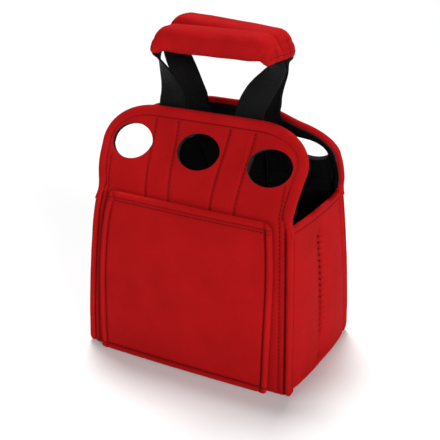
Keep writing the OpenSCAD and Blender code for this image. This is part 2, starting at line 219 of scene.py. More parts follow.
def wobble(a, b, size, seed):
    """Slow unevenness of hand sewn cloth, between about -1 and 1."""
    return noise.noise(Vector((a / size, b / size, seed)))


def place(point, back=False):
    """A point of the front half, in metres, or its twin in the back half.

    The front left corner is drawn in a little at the fold, where the flap pulls on it.
    """
    x, y, z = point
    if not back:
        pull = bell((z - 150) / 15) * ease((-x - 55) / 30) * ease((-y - 25) / 20)
        x += CORNER_PULL * pull
    return Vector((x, (-y if back else y) + MID_Y, z)) * MM


# Shape of the carrier --------------------------------------------------------------------


def seam_x(z):
    """Outer edge of the corner seams."""
    return mix(TUB_W, FOLD_W, (max(z, 0) / FOLD_Z) ** TAPER_POWER) / 2


def edge_y(z):
    """Outer face of the front wall, beside the corner seams."""
    return mix(TUB_D, FOLD_D, (max(z, 0) / FOLD_Z) ** TAPER_POWER) / 2


def wall_end(z):
    return seam_x(z) - SEAM_W - SEAT


def fin_outer(z, back):
    """Outer edge of a corner seam."""
    return seam_x(z) - (BACK_TUCK if back else 0)


def fin_inner(z, back):
    """The groove between a corner seam and the wall."""
    return fin_outer(z, back) - FIN_W


def wall_y(x, z):
    swell = WALL_SWELL * math.sin(math.pi * (clamp(z / FOLD_Z)) ** SWELL_POWER)
    return edge_y(z) + swell * (1 - (x / wall_end(z)) ** 2)


def gusset_end(z):
    return edge_y(z) - SEAM_D - SEAT


def gusset_point(y, z, depth):
    """A point of the right gusset, so far below its outer face."""
    fade = 1 - clamp(z / FOLD_Z) ** SIDE_POWER
    out = SIDE_SWELL * fade * (1 - (y / gusset_end(z)) ** 4)
    return (seam_x(z) - SEAM_STEP + out - depth, y, z)


def flap_share(z):
    """0 on the wall and 1 on the flap, with a smooth step past the fold."""
    return ease((z - (FOLD_Z - FOLD_REACH)) / 14)


def inward(lean):
    return Vector((math.cos(lean), -math.sin(lean)))


SHOULDER_C = Vector((-FOLD_D / 2, FOLD_Z)) + SHOULDER_R * inward(LEAN_FOLD)
STEEP_PT = SHOULDER_C - SHOULDER_R * inward(LEAN_STEEP)
HOLLOW_C = STEEP_PT - HOLLOW_R * inward(LEAN_STEEP)
FLAP_TOP = HOLLOW_C + HOLLOW_R * inward(LEAN_TOP)


def lean_at(z):
    if z < STEEP_PT[1]:
        return math.asin((z - SHOULDER_C[1]) / SHOULDER_R)
    return math.asin((HOLLOW_C[1] - z) / HOLLOW_R)


def flap_y(z):
    if z < STEEP_PT[1]:
        return SHOULDER_C[0] - SHOULDER_R * math.cos(lean_at(z))
    return HOLLOW_C[0] + HOLLOW_R * math.cos(lean_at(z))


def drooped(y, z, x, back):
    """The ends of a flap droop: the profile turned about the fold by a share that grows with x."""
    share = ease((abs(x) - DROOP_FROM) / (DROOP_TO - DROOP_FROM))
    a = (BACK_DROOP if back else FRONT_DROOP) * share
    dy = y + FOLD_D / 2
    dz = z - FOLD_Z
    return (
        dy * math.cos(a) + dz * math.sin(a) - FOLD_D / 2,
        FOLD_Z + dz * math.cos(a) - dy * math.sin(a),
    )


def panel_point(x, z, depth, back):
    """A point so far below the outer face of a wall or flap. z is the height before the droop."""
    if z <= FOLD_Z:
        return x, depth - wall_y(x, z), z
    lean = lean_at(z)
    return x, *drooped(flap_y(z) + depth * math.cos(lean), z - depth * math.sin(lean), x, back)


def on_panel(back, x, z, depth):
    """The same point in metres."""
    return place(panel_point(x, z, depth, back), back)


def turned_under(z):
    """How far the lower edge of a wall or gusset is rounded in, where it is turned under."""
    return FOOT_TURN_D * rounding(clamp(1 - z / FOOT_TURN_H))


def side_x(z):
    """Half width of a flap below its corners."""
    return mix(FLAP_SIDE_W, FLAP_W, (z - FOLD_Z) / SIDE_UP) / 2


def margin_at(x, z):
    """Distance of a point of the flap from the flap's outline."""
    flat = FLAP_TOP_L / 2
    if z <= SIDE_Z:
        return side_x(z) - abs(x)
    if abs(x) <= flat:
        return FLAP_TOP[1] - z
    dx = abs(x) - flat
    dz = z - SIDE_Z
    r = math.hypot(dx / (FLAP_W / 2 - flat), dz / (FLAP_TOP[1] - SIDE_Z))
    return math.hypot(dx, dz) * (1 / max(r, 0.01) - 1)


def hole_at(x, z, back):
    """(middle of the nearest neck hole, point from there, size against the hole's outline).

    Use has drawn the holes of the front flap a little up and down.
    """
    k = max(-1, min(1, round(x / HOLE_PITCH)))
    centre = Vector((k * HOLE_PITCH, HOLE_Z + (0 if back else HOLE_SHIFT[k + 1])))
    spot = Vector((x - centre.x, (z - centre.y) / math.cos(lean_at(HOLE_Z))))
    return centre, spot, math.hypot(spot.x / HOLE_W * 2, spot.y / HOLE_H * 2)


def hole_gap(x, z, back):
    """Distance from the edge of the nearest neck hole, negative inside it."""
    _, spot, size = hole_at(x, z, back)
    return spot.length * (1 - 1 / max(size, 0.01))


def web_at(z):
    """Middle of a strap at height z."""
    return WEB_X + (z - FOLD_Z) * math.tan(WEB_SPLAY)


# Mesh helpers ----------------------------------------------------------------------------


def new_piece(name, bm, materials):
    mesh = bpy.data.meshes.new(name)
    bm.to_mesh(mesh)
    bm.free()
    for material in materials:
        mesh.materials.append(material)
    piece = bpy.data.objects.new(name, mesh)
    bpy.context.scene.collection.objects.link(piece)
    return piece


def bake(piece):
    """Applies the piece's modifiers."""
    bpy.context.view_layer.update()
    graph = bpy.context.evaluated_depsgraph_get()
    shape = piece.evaluated_get(graph)
    mesh = bpy.data.meshes.new_from_object(shape, preserve_all_data_layers=True, depsgraph=graph)
    old = piece.data
    piece.modifiers.clear()
    piece.data = mesh
    mesh.name = old.name
    bpy.data.meshes.remove(old)


def smooth(piece, angle=50):
    for face in piece.data.polygons:
        face.use_smooth = True
    piece.data.set_sharp_from_angle(angle=math.radians(angle))


def thicken(piece, thickness, offset=-1.0, inside=0, rim=0):
    """Gives a sheet its thickness. inside and rim count on from its first material."""
    solid = piece.modifiers.new("Thickness", "SOLIDIFY")
    solid.thickness = thickness * MM
    solid.offset = offset
    solid.use_even_offset = False
    solid.material_offset = inside
    solid.material_offset_rim = rim
    bake(piece)


def flat_grid(cols, rows, flat):
    """A grid laid out by flat(u, t), with u from -1 to 1 and t from 0 to 1, as (x, z, 0)."""
    bm = bmesh.new()
    bmesh.ops.create_grid(bm, x_segments=cols, y_segments=rows, size=1.0)
    for v in bm.verts:
        x, z = flat(v.co.x, (v.co.y + 1) / 2)
        v.co = (x, z, 0)
    return bm


def sheet(name, bm, form, seam, outward, materials):
    """Bends a flat grid by form(x, z) and turns its faces outward.

    seam(x, z) gives each point's painted shade, darkest in the grooves at stitched seams and hems.
    """
    layer = bm.verts.layers.float.new("seam")
    for v in bm.verts:
        x, z = v.co.x, v.co.y
        v[layer] = seam(x, z)
        v.co = form(x, z)
    bm.normal_update()
    total = sum((f.normal * f.calc_area() for f in bm.faces), Vector())
    if total.dot(Vector(outward)) < 0:
        bmesh.ops.reverse_faces(bm, faces=bm.faces[:])
        bm.normal_update()
    return new_piece(name, bm, materials)


def tube(name, along, around, form, materials, seam=None):
    """A closed tube: form(t, a) with t from 0 to 1 along it and a the angle round it."""
    bm = bmesh.new()
    bmesh.ops.create_grid(bm, x_segments=along, y_segments=around, size=1.0)
    # seam(t, a) gives each point's painted shade, darkest in grooves
    layer = bm.verts.layers.float.new("seam")
    for v in bm.verts:
        t, a = (v.co.x + 1) / 2, (v.co.y + 1) * math.pi
        v[layer] = seam(t, a) if seam else 0.0
        v.co = form(t, a)
    bmesh.ops.remove_doubles(bm, verts=bm.verts[:], dist=0.01 * MM)
    open_edges = [e for e in bm.edges if e.is_boundary]
    bmesh.ops.holes_fill(bm, edges=open_edges, sides=0)
    bmesh.ops.recalc_face_normals(bm, faces=bm.faces[:])
    piece = new_piece(name, bm, materials)
    smooth(piece)
    return piece


def sew(bm, line, pitch, length, width=THREAD_W):
    """Lays stitches along a line of (point, outward) pairs in metres, one each pitch."""
    spans = [(b[0] - a[0]).length for a, b in zip(line, line[1:])]
    total = sum(spans)
    count = max(1, int(total / (pitch * MM)))
    step = total / count
    for k in range(count):
        want = (k + 0.5) * step
        i = 0
        while i < len(spans) - 1 and want > spans[i]:
            want -= spans[i]
            i += 1
        share = clamp(want / max(spans[i], 1e-9))
        centre = line[i][0].lerp(line[i + 1][0], share)
        out = line[i][1].lerp(line[i + 1][1], share).normalized()
        way = (line[i + 1][0] - line[i][0]).normalized()
        cross = out.cross(way).normalized()
        out = way.cross(cross)
        size = Vector((width, width, length)) * MM / 2
        turn = Matrix((cross * size.x, out * size.y, way * size.z)).transposed()
        where = Matrix.Translation(centre) @ turn.to_4x4()
        bmesh.ops.create_uvsphere(bm, u_segments=6, v_segments=4, radius=1.0, matrix=where)


def line_on(surface, points, proud=0.15):
    """Turns (a, b) pairs on a surface(a, b, depth) into a line for sew()."""
    result = []
    for a, b, depth in points:
        here = surface(a, b, depth - proud)
        out = surface(a, b, depth - proud - 1) - here
        result.append((here, out))
    return result


def stitches(name, lines, settings, thread, dents=()):
    """Stitches along lines, and coarser ones along a puckered seam, one in each dent."""
    bm = bmesh.new()
    for line in lines:
        sew(bm, line, settings.stitch_pitch, settings.stitch_length)
    for line in dents:
        sew(bm, line, PUCKER_PITCH, settings.stitch_length, DENT_THREAD_W)
    bmesh.ops.recalc_face_normals(bm, faces=bm.faces[:])
    piece = new_piece(name, bm, [thread])
    smooth(piece, angle=80)
    return piece


def settle(piece, nodes=(), body=None, bend=None):
    """Hides the parts of the model that a piece stands for, and parents the piece to one body.
    Given a bend across a joint, it only applies the piece's transform.
    """
    if bend:
        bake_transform(piece)
    else:
        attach(piece, body)
    if nodes:
        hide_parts(*nodes)


def fold_bend(side):
    """The bend across the fold line, over a finger's width of cloth."""
    y = (FOLD_D / 2 if side == "back" else -FOLD_D / 2) + MID_Y
    low, high = (FOLD_Z - FOLD_REACH) * MM, (FOLD_Z + FOLD_REACH) * MM
    return "tub", f"{side}_flap_body", (0, y * MM, low), (0, y * MM, high)


# Materials -------------------------------------------------------------------------------

# Distance from loop to loop of the knit, and from rib to rib and yarn to yarn of the webbing
KNIT_PITCH = 0.9
RIB_PITCH = 1.7
WEFT_PITCH = 1.3
# Sizes of the clouds in the dye, the grain of the nap, the foam's pores and the webbing's fluff
DYE_CLOUD = 28
NAP_GRAIN = 3.5
FOAM_PORE = 0.7
WEB_FLUFF = 6
# Distance from ply to ply of the thread, and length of the waves of a wave texture at scale 1
PLY_PITCH = 0.5
WAVE_LENGTH = 0.314


def linear(code):
    """An sRGB hex colour as linear values."""
    parts = [int(code[i : i + 2], 16) / 255 for i in (1, 3, 5)]
    return tuple(c / 12.92 if c <= 0.04045 else ((c + 0.055) / 1.055) ** 2.4 for c in parts)


def toned(colour, factor=1.0, lift=0.0):
    """A linear colour made darker or lighter, with full opacity."""
    return (*(min(1.0, c * factor + lift) for c in colour), 1.0)


def add_node(tree, kind, inputs=None, **settings):
    """Adds a node, sets its properties, and gives its inputs their values or their links."""
    node = tree.nodes.new("ShaderNode" + kind)
    for name, value in settings.items():
        setattr(node, name, value)
    for name, value in (inputs or {}).items():
        if isinstance(value, bpy.types.NodeSocket):
            tree.links.new(value, node.inputs[name])
        else:
            node.inputs[name].default_value = value
    return node.outputs


def material_of(name, surface, *looks):
    """The material of that name. surface(add, *looks) makes its nodes on its first use."""
    material = bpy.data.materials.get(name)
    if material is None:
        material = bpy.data.materials.new(name)
        material.use_nodes = True
        material.node_tree.nodes.clear()
        add = partial(add_node, material.node_tree)
        add("OutputMaterial", {"Surface": surface(add, *looks)})
    return material


def knit_face(add, light, dark, sheen):
    """Neoprene laminated with a nylon jersey: a soft, even knit that scatters light at its rim.

    The real knit is about 0.4 mm from loop to loop. It is drawn at KNIT_PITCH, so that it
    still shows as a fine grain.
    """
    where = add("TexCoord")["Object"]
    # Uneven dye and nap, in clouds a few centimetres wide
    dye = {"Vector": where, "Scale": 1 / (DYE_CLOUD * MM), "Detail": 4.0, "Roughness": 0.6}
    clouds = add("TexNoise", dye)["Fac"]
    knit = {"Vector": where, "Scale": 1 / (KNIT_PITCH * MM), "Randomness": 0.35}
    loops = add("TexVoronoi", knit)["Distance"]
    grain = add("TexNoise", {"Vector": where, "Scale": 1 / (NAP_GRAIN * MM), "Detail": 3.0})["Fac"]
    seam = add("Attribute", attribute_name="seam")["Fac"]
    cloudy = add("MapRange", {"Value": clouds, "From Min": 0.3, "From Max": 0.7})["Result"]
    gaps = add("MapRange", {"Value": loops, "From Min": 0.35, "From Max": 0.8, "To Max": 0.35})
    dust_and_shade = add("MapRange", {"Value": seam, "To Max": 0.8})["Result"]
    colour = add("Mix", {0: cloudy, 6: toned(dark), 7: toned(light)}, data_type="RGBA")[2]
    fleck = add("Mix", {0: gaps["Result"], 6: colour, 7: toned(dark)}, data_type="RGBA")[2]
    # Dust and painted shade: the seam attribute darkens the channels of seams, hem edges and
    # creases towards 0.3 of the dark tone
    dusted_and_shaded = add("Mix", {0: dust_and_shade, 6: fleck, 7: toned(dark, 0.3)}, data_type="RGBA")[2]
    nap = {"Value": grain, "From Min": 0.3, "From Max": 0.7, "To Min": 0.72, "To Max": 0.9}
    rough = add("MapRange", nap)["Result"]
    height = add("Math", {0: grain, 1: 0.5, 2: loops}, operation="MULTIPLY_ADD")[0]
    bump = add("Bump", {"Strength": 0.35, "Distance": 0.18 * MM, "Height": height})["Normal"]
    shader = {
        "Base Color": dusted_and_shaded,
        "Roughness": rough,
        "Normal": bump,
        "IOR": 1.46,
        "Specular IOR Level": 0.04,
        "Sheen Weight": sheen,
        "Sheen Roughness": 0.3,
        "Sheen Tint": toned(light, 1.2, 0.05),
    }
    return add("BsdfPrincipled", shader)["BSDF"]


def cut_foam(add, colour):
    """The cut edge of neoprene: closed cell foam, matt black with fine open pores."""
    where = add("TexCoord")["Object"]
    pores = add("TexVoronoi", {"Vector": where, "Scale": 1 / (FOAM_PORE * MM)})["Distance"]
    open_at = add("MapRange", {"Value": pores, "From Min": 0.2, "From Max": 0.7})["Result"]
    tones = {0: open_at, 6: toned(colour), 7: toned(colour, 2.2, 0.004)}
    tone = add("Mix", tones, data_type="RGBA")[2]
    bump = add("Bump", {"Strength": 0.6, "Distance": 0.2 * MM, "Height": pores})["Normal"]
    shader = {
        "Base Color": tone, "Normal": bump, "Roughness": 0.92, "IOR": 1.5, "Specular IOR Level": 0.2
    }
    return add("BsdfPrincipled", shader)["BSDF"]


def woven_webbing(add, colour):
    """Polypropylene webbing: hard shiny yarns in lengthwise ribs, crossed by a fine weft.

    UV runs across and along the webbing in millimetres.
    """
    split = add("SeparateXYZ", {0: add("UVMap", uv_map="weave")["UV"]})
    waves = []
    for axis, pitch in (("X", RIB_PITCH), ("Y", WEFT_PITCH)):
        turns = add("Math", {0: split[axis], 1: 2 * math.pi / pitch}, operation="MULTIPLY")[0]
        waves.append(add("Math", {0: turns}, operation="SINE")[0])
    ribs, weft = waves
    yarn = add("Math", {0: weft, 1: 0.45, 2: ribs}, operation="MULTIPLY_ADD")[0]
    where = add("TexCoord")["Object"]
    fluff = add("TexNoise", {"Vector": where, "Scale": 1 / (WEB_FLUFF * MM), "Detail": 4.0})["Fac"]
    # Painted light and shade: the crests of ribs and weft lighter, the hollows between them darker
    rib_light_and_shade = add("MapRange", {"Value": yarn, "From Min": -1.0, "From Max": 1.2})["Result"]
    fade = add("MapRange", {"Value": fluff, "From Min": 0.5, "From Max": 0.8, "To Max": 0.5})
    nap = {"Value": fluff, "From Min": 0.3, "From Max": 0.7, "To Min": 0.55, "To Max": 0.72}
    rough = add("MapRange", nap)["Result"]
    tones = {0: rib_light_and_shade, 6: toned(colour, 0.6), 7: toned(colour, 1.5)}
    tone = add("Mix", tones, data_type="RGBA")[2]
    tones = {0: fade["Result"], 6: tone, 7: toned(colour, 1.0, 0.004)}
    faded = add("Mix", tones, data_type="RGBA")[2]
    bump = add("Bump", {"Strength": 0.6, "Distance": 0.3 * MM, "Height": yarn})["Normal"]
    shader = {
        "Base Color": faded,
        "Roughness": rough,
        "Normal": bump,
        "IOR": 1.49,
        "Specular IOR Level": 0.12,
    }
    return add("BsdfPrincipled", shader)["BSDF"]


def sewing_thread(add, colour):
    """Twisted polyester thread, matt from use, with its plies as fine bands: bumps, and painted
    shade in the hollows between them.
    """
    where = add("TexCoord")["Object"]
    bands = {"Vector": where, "Scale": WAVE_LENGTH / (PLY_PITCH * MM), "Distortion": 1.0}
    plies = add("TexWave", bands, wave_type="BANDS", bands_direction="DIAGONAL")["Fac"]
    # Painted shade: darker in the hollows between the plies
    tone = add("Mix", {0: plies, 6: toned(colour, 0.7), 7: toned(colour)}, data_type="RGBA")[2]
    bump = add("Bump", {"Strength": 0.4, "Distance": 0.1 * MM, "Height": plies})["Normal"]
    shader = {
        "Base Color": tone, "Normal": bump, "Roughness": 0.9, "IOR": 1.5, "Specular IOR Level": 0.08
    }
    return add("BsdfPrincipled", shader)["BSDF"]


def studio_floor(add):
    """White studio floor, faintly glossy: seen straight, it is white where no shadow lies."""
    paint = {"Base Color": (0.8, 0.8, 0.8, 1), "Roughness": 0.35, "Specular IOR Level": 0.3}
    body = add("BsdfPrincipled", paint)["BSDF"]
    glow = add("Emission", {"Color": (1, 1, 1, 1), "Strength": 0.08})["Emission"]
    both = add("AddShader", {0: body, 1: glow})[0]
    rays = add("LightPath")
    seen = rays["Is Camera Ray"]
    for other in ("Is Glossy Ray", "Is Transmission Ray"):
        seen = add("Math", {0: seen, 1: rays[other]}, operation="ADD", use_clamp=True)[0]
    return add("MixShader", {0: seen, 1: body, 2: both})[0]


def finishes(colours):
    """The materials of the carrier, by the part that they play in it."""
    reds = colours.red, colours.red_shade, 0.13
    blacks = colours.black, colours.black_shade, 0.06
    return SimpleNamespace(
        red=material_of("red_jersey_neoprene", knit_face, *reds),
        black=material_of("black_jersey_neoprene", knit_face, *blacks),
        edge=material_of("cut_neoprene_edge", cut_foam, linear("#0E0E0F")),
        webbing=material_of("black_polypropylene_webbing", woven_webbing, colours.webbing),
        thread=material_of("red_sewing_thread", sewing_thread, colours.thread),
        black_thread=material_of("black_sewing_thread", sewing_thread, colours.black_thread),
    )


# Property groups -------------------------------------------------------------------------

COLOUR = {"subtype": "COLOR", "min": 0.0, "max": 1.0}


class CarrierSewing(bpy.types.PropertyGroup):
    """Stitches and the marks that they leave in the cloth."""

    stitch_pitch: FloatProperty(
        name="Stitch pitch", description="Distance from stitch to stitch, in mm",
        default=3.6, min=2.0, max=8.0,
    )
    stitch_length: FloatProperty(
        name="Stitch length", description="Visible length of one stitch, in mm",
        default=2.7, min=1.0, max=6.0,
    )
    channel_depth: FloatProperty(
        name="Channel depth", description="How deep a line of stitches draws the cloth in, in mm",
        default=0.8, min=0.0, max=1.5,
    )
    pucker: FloatProperty(
        name="Pucker", description="Height of the puckers beside the gussets' seam, in mm",
        default=0.8, min=0.0, max=1.2,
    )
    unevenness: FloatProperty(
        name="Unevenness", description="Slow waves of the cloth, in mm",
        default=0.35, min=0.0, max=1.0,
    )


class CarrierPadding(bpy.types.PropertyGroup):
    """How the padded grips are filled."""

    pressure: FloatProperty(
        name="Pressure", description="Pressure inside the sleeve while it is filled",
        default=4.0, min=0.0, max=10.0,
    )
    swell_cap: FloatProperty(
        name="Most swell", description="The most that a point of the sleeve may move out, in mm",
        default=1.0, min=0.0, max=3.0,
    )
    voxel: FloatProperty(
        name="Remesh size", description="Size of the cells that the sleeve is remeshed with, in mm",
        default=2.5, min=2.5, max=6.0,
    )
    frames: IntProperty(
        name="Frames", description="Frames of cloth simulation", default=20, min=2, max=60
    )
    fill: FloatProperty(
        name="Fill", description="How tight the grips are filled, from 0 to 1",
        default=0.8, min=0.0, max=1.0, subtype="FACTOR",
    )


class CarrierColours(bpy.types.PropertyGroup):
    """Colours of the cloth, the webbing and the thread."""

    red: FloatVectorProperty(
        name="Red", description="Face of the red neoprene", default=linear("#AE1315"), **COLOUR
    )
    red_shade: FloatVectorProperty(
        name="Red, darker", description="Darker tone of the red neoprene",
        default=linear("#A01012"), **COLOUR,
    )
    black: FloatVectorProperty(
        name="Black", description="Face of the black neoprene and the lining",
        default=linear("#131315"), **COLOUR,
    )
    black_shade: FloatVectorProperty(
        name="Black, darker", description="Darker tone of the black neoprene",
        default=linear("#0B0B0D"), **COLOUR,
    )
    webbing: FloatVectorProperty(
        name="Webbing", description="Black polypropylene webbing",
        default=linear("#060607"), **COLOUR,
    )
    thread: FloatVectorProperty(
        name="Thread", description="Thread on the red cloth", default=linear("#5A0B0C"), **COLOUR
    )
    black_thread: FloatVectorProperty(
        name="Black thread", description="Thread on the webbing and the lining",
        default=linear("#1B1B1D"), **COLOUR,
    )


# Panels ----------------------------------------------------------------------------------

# Margin of the outline at which a panel ends under its hem
PANEL_MARGIN = 4
PANEL_COLS = 152
PANEL_ROWS = 156
# Length of the rounded corner part, walked by angle
CORNER_WALK = 57


def panel_flat(u, t, tuck):
    """Lays the panel's grid out: straight sides up to the corners, then round to the top edge.

    tuck is how far inside the outer edge of its corner seams the wall ends.
    """
    walk = t * (SIDE_Z + CORNER_WALK)
    if walk <= SIDE_Z:
        low = seam_x(walk) - tuck
        high = side_x(walk) - PANEL_MARGIN
        return u * mix(low, high, ease((walk - 144) / 14)), walk
    a = (walk - SIDE_Z) / CORNER_WALK * math.pi / 2
    flat = FLAP_TOP_L / 2
    x = flat + (FLAP_W / 2 - PANEL_MARGIN - flat) * math.cos(a)
    return u * x, SIDE_Z + (FLAP_TOP[1] - PANEL_MARGIN - SIDE_Z) * math.sin(a)


# Lines of stitches that hold the webbing: distance inside the webbing's edge, highest point
WEB_LINE_IN = 1.2
WEB_LINE_TOP = 212
# The side stitches: distances from the hem's outer edge and from the corner seam, highest point
SIDE_LINE_HEM = 11.5
SIDE_LINE_FIN = 2.2
SIDE_LINE_TOP = 180
# How far a panel lies in under its hem and at the groove beside a corner seam, and how far the
# webbing and the rims of the neck holes lift it
HEM_TUCK = 1.8
GROOVE_TUCK = 2.6
WEB_RISE = 0.35
HOLE_RISE = 0.8


def web_lines(z):
    """The four x places of the webbing's stitch lines at height z."""
    near = WEB_W / 2 - WEB_LINE_IN
    return [s * (web_at(z) + k * near) for s in (-1, 1) for k in (-1, 1)]


def side_line(z):
    """x of the stitch line beside the hem, which runs on down beside the corner seam."""
    beside_hem = side_x(z) - SIDE_LINE_HEM - 1.5 * ease((z - 158) / 18)
    beside_fin = seam_x(z) - SEAM_W - SIDE_LINE_FIN
    return mix(beside_fin, beside_hem, flap_share(z))


def channel(distance, depth, width=1.15):
    return depth * bell(distance / width)


def panel_channels(x, z, depth):
    """How far the lines of stitches draw the panel in."""
    result = 0.0
    top = ease((WEB_LINE_TOP + 1 - z) / 2)
    if z > FOLD_Z - ANCHOR_L:
        for line in web_lines(z):
            result = max(result, channel(x - line, depth) * top)
    if z < SIDE_LINE_TOP:
        fade = ease((SIDE_LINE_TOP - z) / 6)
        result = max(result, channel(abs(x) - side_line(z), depth * 0.7) * fade)
    return result


def panel_relief(x, z, sewing, back):
    """Depth of the panel's face below its plain shape."""
    depth = panel_channels(x, z, sewing.channel_depth)
    depth -= sewing.unevenness * wobble(x, z, 34, int(back))
    if z > FOLD_Z:
        m = margin_at(x, z)
        depth += HEM_TUCK * ease((9.8 - m) / 4.5)
        # The webbing behind lifts the cloth a little
        for s in (-1, 1):
            inside = WEB_W / 2 - abs(x - s * web_at(z))
            depth -= WEB_RISE * ease(inside / 4) * ease((WEB_LINE_TOP - z) / 4)
        gap = hole_gap(x, z, back)
        lower = 1 if z < HOLE_Z else 0.4
        depth -= HOLE_RISE * lower * bell(gap / 6)
    else:
        depth += GROOVE_TUCK * ease((abs(x) - fin_inner(z, back) + 1.6) / 2.8)
    return depth + turned_under(z)


def panel_seam_shade(x, z, back):
    # Painted shade: darker in the stitch channels, along the hem's inner edge and in the groove
    # beside each corner seam
    shade = 0.5 * panel_channels(x, z, 1.0)
    if z > FOLD_Z:
        shade = max(shade, 0.6 * bell((margin_at(x, z) - 8.6) / 0.9))
    else:
        shade = max(shade, 0.95 * bell((abs(x) - fin_inner(z, back) + 0.3) / 0.9))
    return clamp(shade)


def carve_holes(bm, back):
    """Takes the neck holes out of the flat grid and draws its edge on to their outline."""
    inside = [
        f
        for f in bm.faces
        if abs(f.calc_center_median().y - HOLE_Z) < HOLE_H
        and all(hole_gap(v.co.x, v.co.y, back) < 0.2 for v in f.verts)
    ]
    bmesh.ops.delete(bm, geom=inside, context="FACES")
    slope = math.cos(lean_at(HOLE_Z))
    near = []
    for v in bm.verts:
        if abs(v.co.y - HOLE_Z) > HOLE_H:
            continue
        gap = hole_gap(v.co.x, v.co.y, back)
        if gap < 5:
            near.append(v)
        if gap < 0.6 and v.is_boundary:
            centre, spot, size = hole_at(v.co.x, v.co.y, back)
            v.co.x = centre.x + spot.x / size
            v.co.y = centre.y + spot.y / size * slope
    rest = [v for v in near if not v.is_boundary]
    for _ in range(3):
        bmesh.ops.smooth_vert(bm, verts=rest, factor=0.5, use_axis_x=True, use_axis_y=True)


class CARRIER_OT_panels(bpy.types.Operator):
    """Front and back panel: wall and flap in one length, red outside and black inside"""

    bl_idname = "carrier.build_panels"
    bl_label = "Front and back panels"

    def execute(self, context):
        looks = finishes(context.scene.carrier_colours)
        sewing = context.scene.carrier_sewing
        low = FOLD_Z - ANCHOR_L
        reach = WEB_W / 2 - WEB_LINE_IN
        for side in SIDES:
            back = side == "back"
            surface = partial(on_panel, back)

            def relief(x, z):
                return panel_relief(x, z, sewing, back)

            def sewn_along(points):
                return line_on(surface, [(x, z, relief(x, z)) for x, z in points])

            tuck = (BACK_TUCK if back else 0) + 3
            bm = flat_grid(PANEL_COLS, PANEL_ROWS, lambda u, t: panel_flat(u, t, tuck))
            carve_holes(bm, back)
            panel = sheet(
                f"{side}_panel",
                bm,
                lambda x, z: surface(x, z, relief(x, z)),
                lambda x, z: panel_seam_shade(x, z, back),
                (0, 1 if back else -1, 0),
                [looks.red, looks.black, looks.edge],
            )
            thicken(panel, WALL_T, inside=1, rim=2)
            smooth(panel)
            settle(panel, (f"{side}_wall", f"{side}_flap"), bend=fold_bend(side))

            # The pocket covers the lower end of the front straps' stitches
            heights = steps(low if back else POCKET_H - 4, WEB_LINE_TOP, 40)
            lines = [sewn_along([(web_lines(z)[k], z) for z in heights]) for k in range(4)]
            for s in (-1, 1):
                beside = [(s * side_line(z), z) for z in steps(4, SIDE_LINE_TOP - 2, 80)]
                lines.append(sewn_along(beside))
                # The seam that joins wall and gusset lies in the groove
                groove = [(s * (fin_inner(z, back) - 0.5), z) for z in steps(4, 143, 80)]
                lines.append(sewn_along(groove))
                if back:
                    across = [(s * (web_at(low) + t * reach), low) for t in steps(-1, 1, 8)]
                    lines.append(sewn_along(across))
            sewn = stitches(f"{side}_panel_stitches", lines, sewing, looks.thread)
            settle(sewn, bend=fold_bend(side))
        return {"FINISHED"}


# Flap hems -------------------------------------------------------------------------------

# Height at which a flap's hem starts, inside the corner seam
HEM_FOOT_Z = 139
HEM_ROLL_W = 9.6
# Distance of the stitches from the hem's outer edge
HEM_STITCH = 8.8
# Length of the hem round one corner
HEM_CORNER = 64


def hem_edge(z, m, back, foot):
    """x at m inside the hem's outer edge, which runs on into the corner seam at its foot.

    foot is the hem's width there, as a share of its full width.
    """
    share = ease((z - HEM_FOOT_Z) / 19)
    return mix(fin_outer(z, back), side_x(z), share) - m * mix(foot, 1, share)


def hem_walk(t, m, back):
    """A point (x, z) of the flap's outline, drawn in by m, from the left foot to the right."""
    flat = FLAP_TOP_L / 2
    up = SIDE_Z - HEM_FOOT_Z
    total = 2 * up + 2 * HEM_CORNER + FLAP_TOP_L
    s = t * total
    sign = -1
    if s > total / 2:
        s = total - s
        sign = 1
    if s < up:
        z = HEM_FOOT_Z + s
        return sign * hem_edge(z, m, back, 0.12), z
    if s < up + HEM_CORNER:
        a = (s - up) / HEM_CORNER * math.pi / 2
        x = flat + (FLAP_W / 2 - m - flat) * math.cos(a)
        return sign * x, SIDE_Z + (FLAP_TOP[1] - m - SIDE_Z) * math.sin(a)
    return sign * (flat - (s - up - HEM_CORNER)), FLAP_TOP[1] - m


def hem_section(a, wide, puff):
    """(margin, depth) round a rolled hem: a is 0 at its outer edge."""
    m = wide / 2 - wide / 2 * power(math.cos(a), 0.8)
    d = WALL_T / 2 + (WALL_T / 2 + HEM_PROUD + puff) * power(math.sin(a), 0.8)
    return m, d


class CARRIER_OT_flap_hems(bpy.types.Operator):
    """Rolled hems round the flaps, with their line of stitches"""

    bl_idname = "carrier.build_flap_hems"
    bl_label = "Flap hems"

    def execute(self, context):
        looks = finishes(context.scene.carrier_colours)
        for seed, side in enumerate(SIDES):
            back = side == "back"
            surface = partial(on_panel, back)

            def form(t, a):
                m, d = hem_section(a, HEM_ROLL_W, 0.25 * wobble(t * 300, a, 9, seed + 5))
                x, z = hem_walk(t, m, back)
                return surface(x, z, d)

            def shade(t, a):
                # Painted shade along the inner edge of the hem roll, where it meets the flap
                m, _ = hem_section(a, HEM_ROLL_W, 0)
                return 0.8 * bell((m - HEM_ROLL_W + 0.4) / 0.8)

            hem = tube(f"{side}_hem_roll", 260, 20, form, [looks.red], shade)
            settle(hem, (f"{side}_flap_hem",), bend=fold_bend(side))

            walk = [hem_walk(t, HEM_STITCH, back) for t in steps(0.01, 0.99, 200)]
            inner = []
            for x, z in walk:
                here = surface(x, z, WALL_T + 0.1)
                inner.append((here, here - surface(x, z, WALL_T - 0.9)))
            lines = [line_on(surface, [(x, z, 0.35) for x, z in walk]), inner]
            sewn = stitches(
                f"{side}_hem_stitches", lines, context.scene.carrier_sewing, looks.thread
            )
            settle(sewn, bend=fold_bend(side))
        return {"FINISHED"}


# Corner seams ----------------------------------------------------------------------------

# Height at which a corner seam ends, inside the flap's hem
SEAM_TOP_Z = 160
# Share of the seam's length that its rounded lower end takes
TIP_SHARE = 0.06


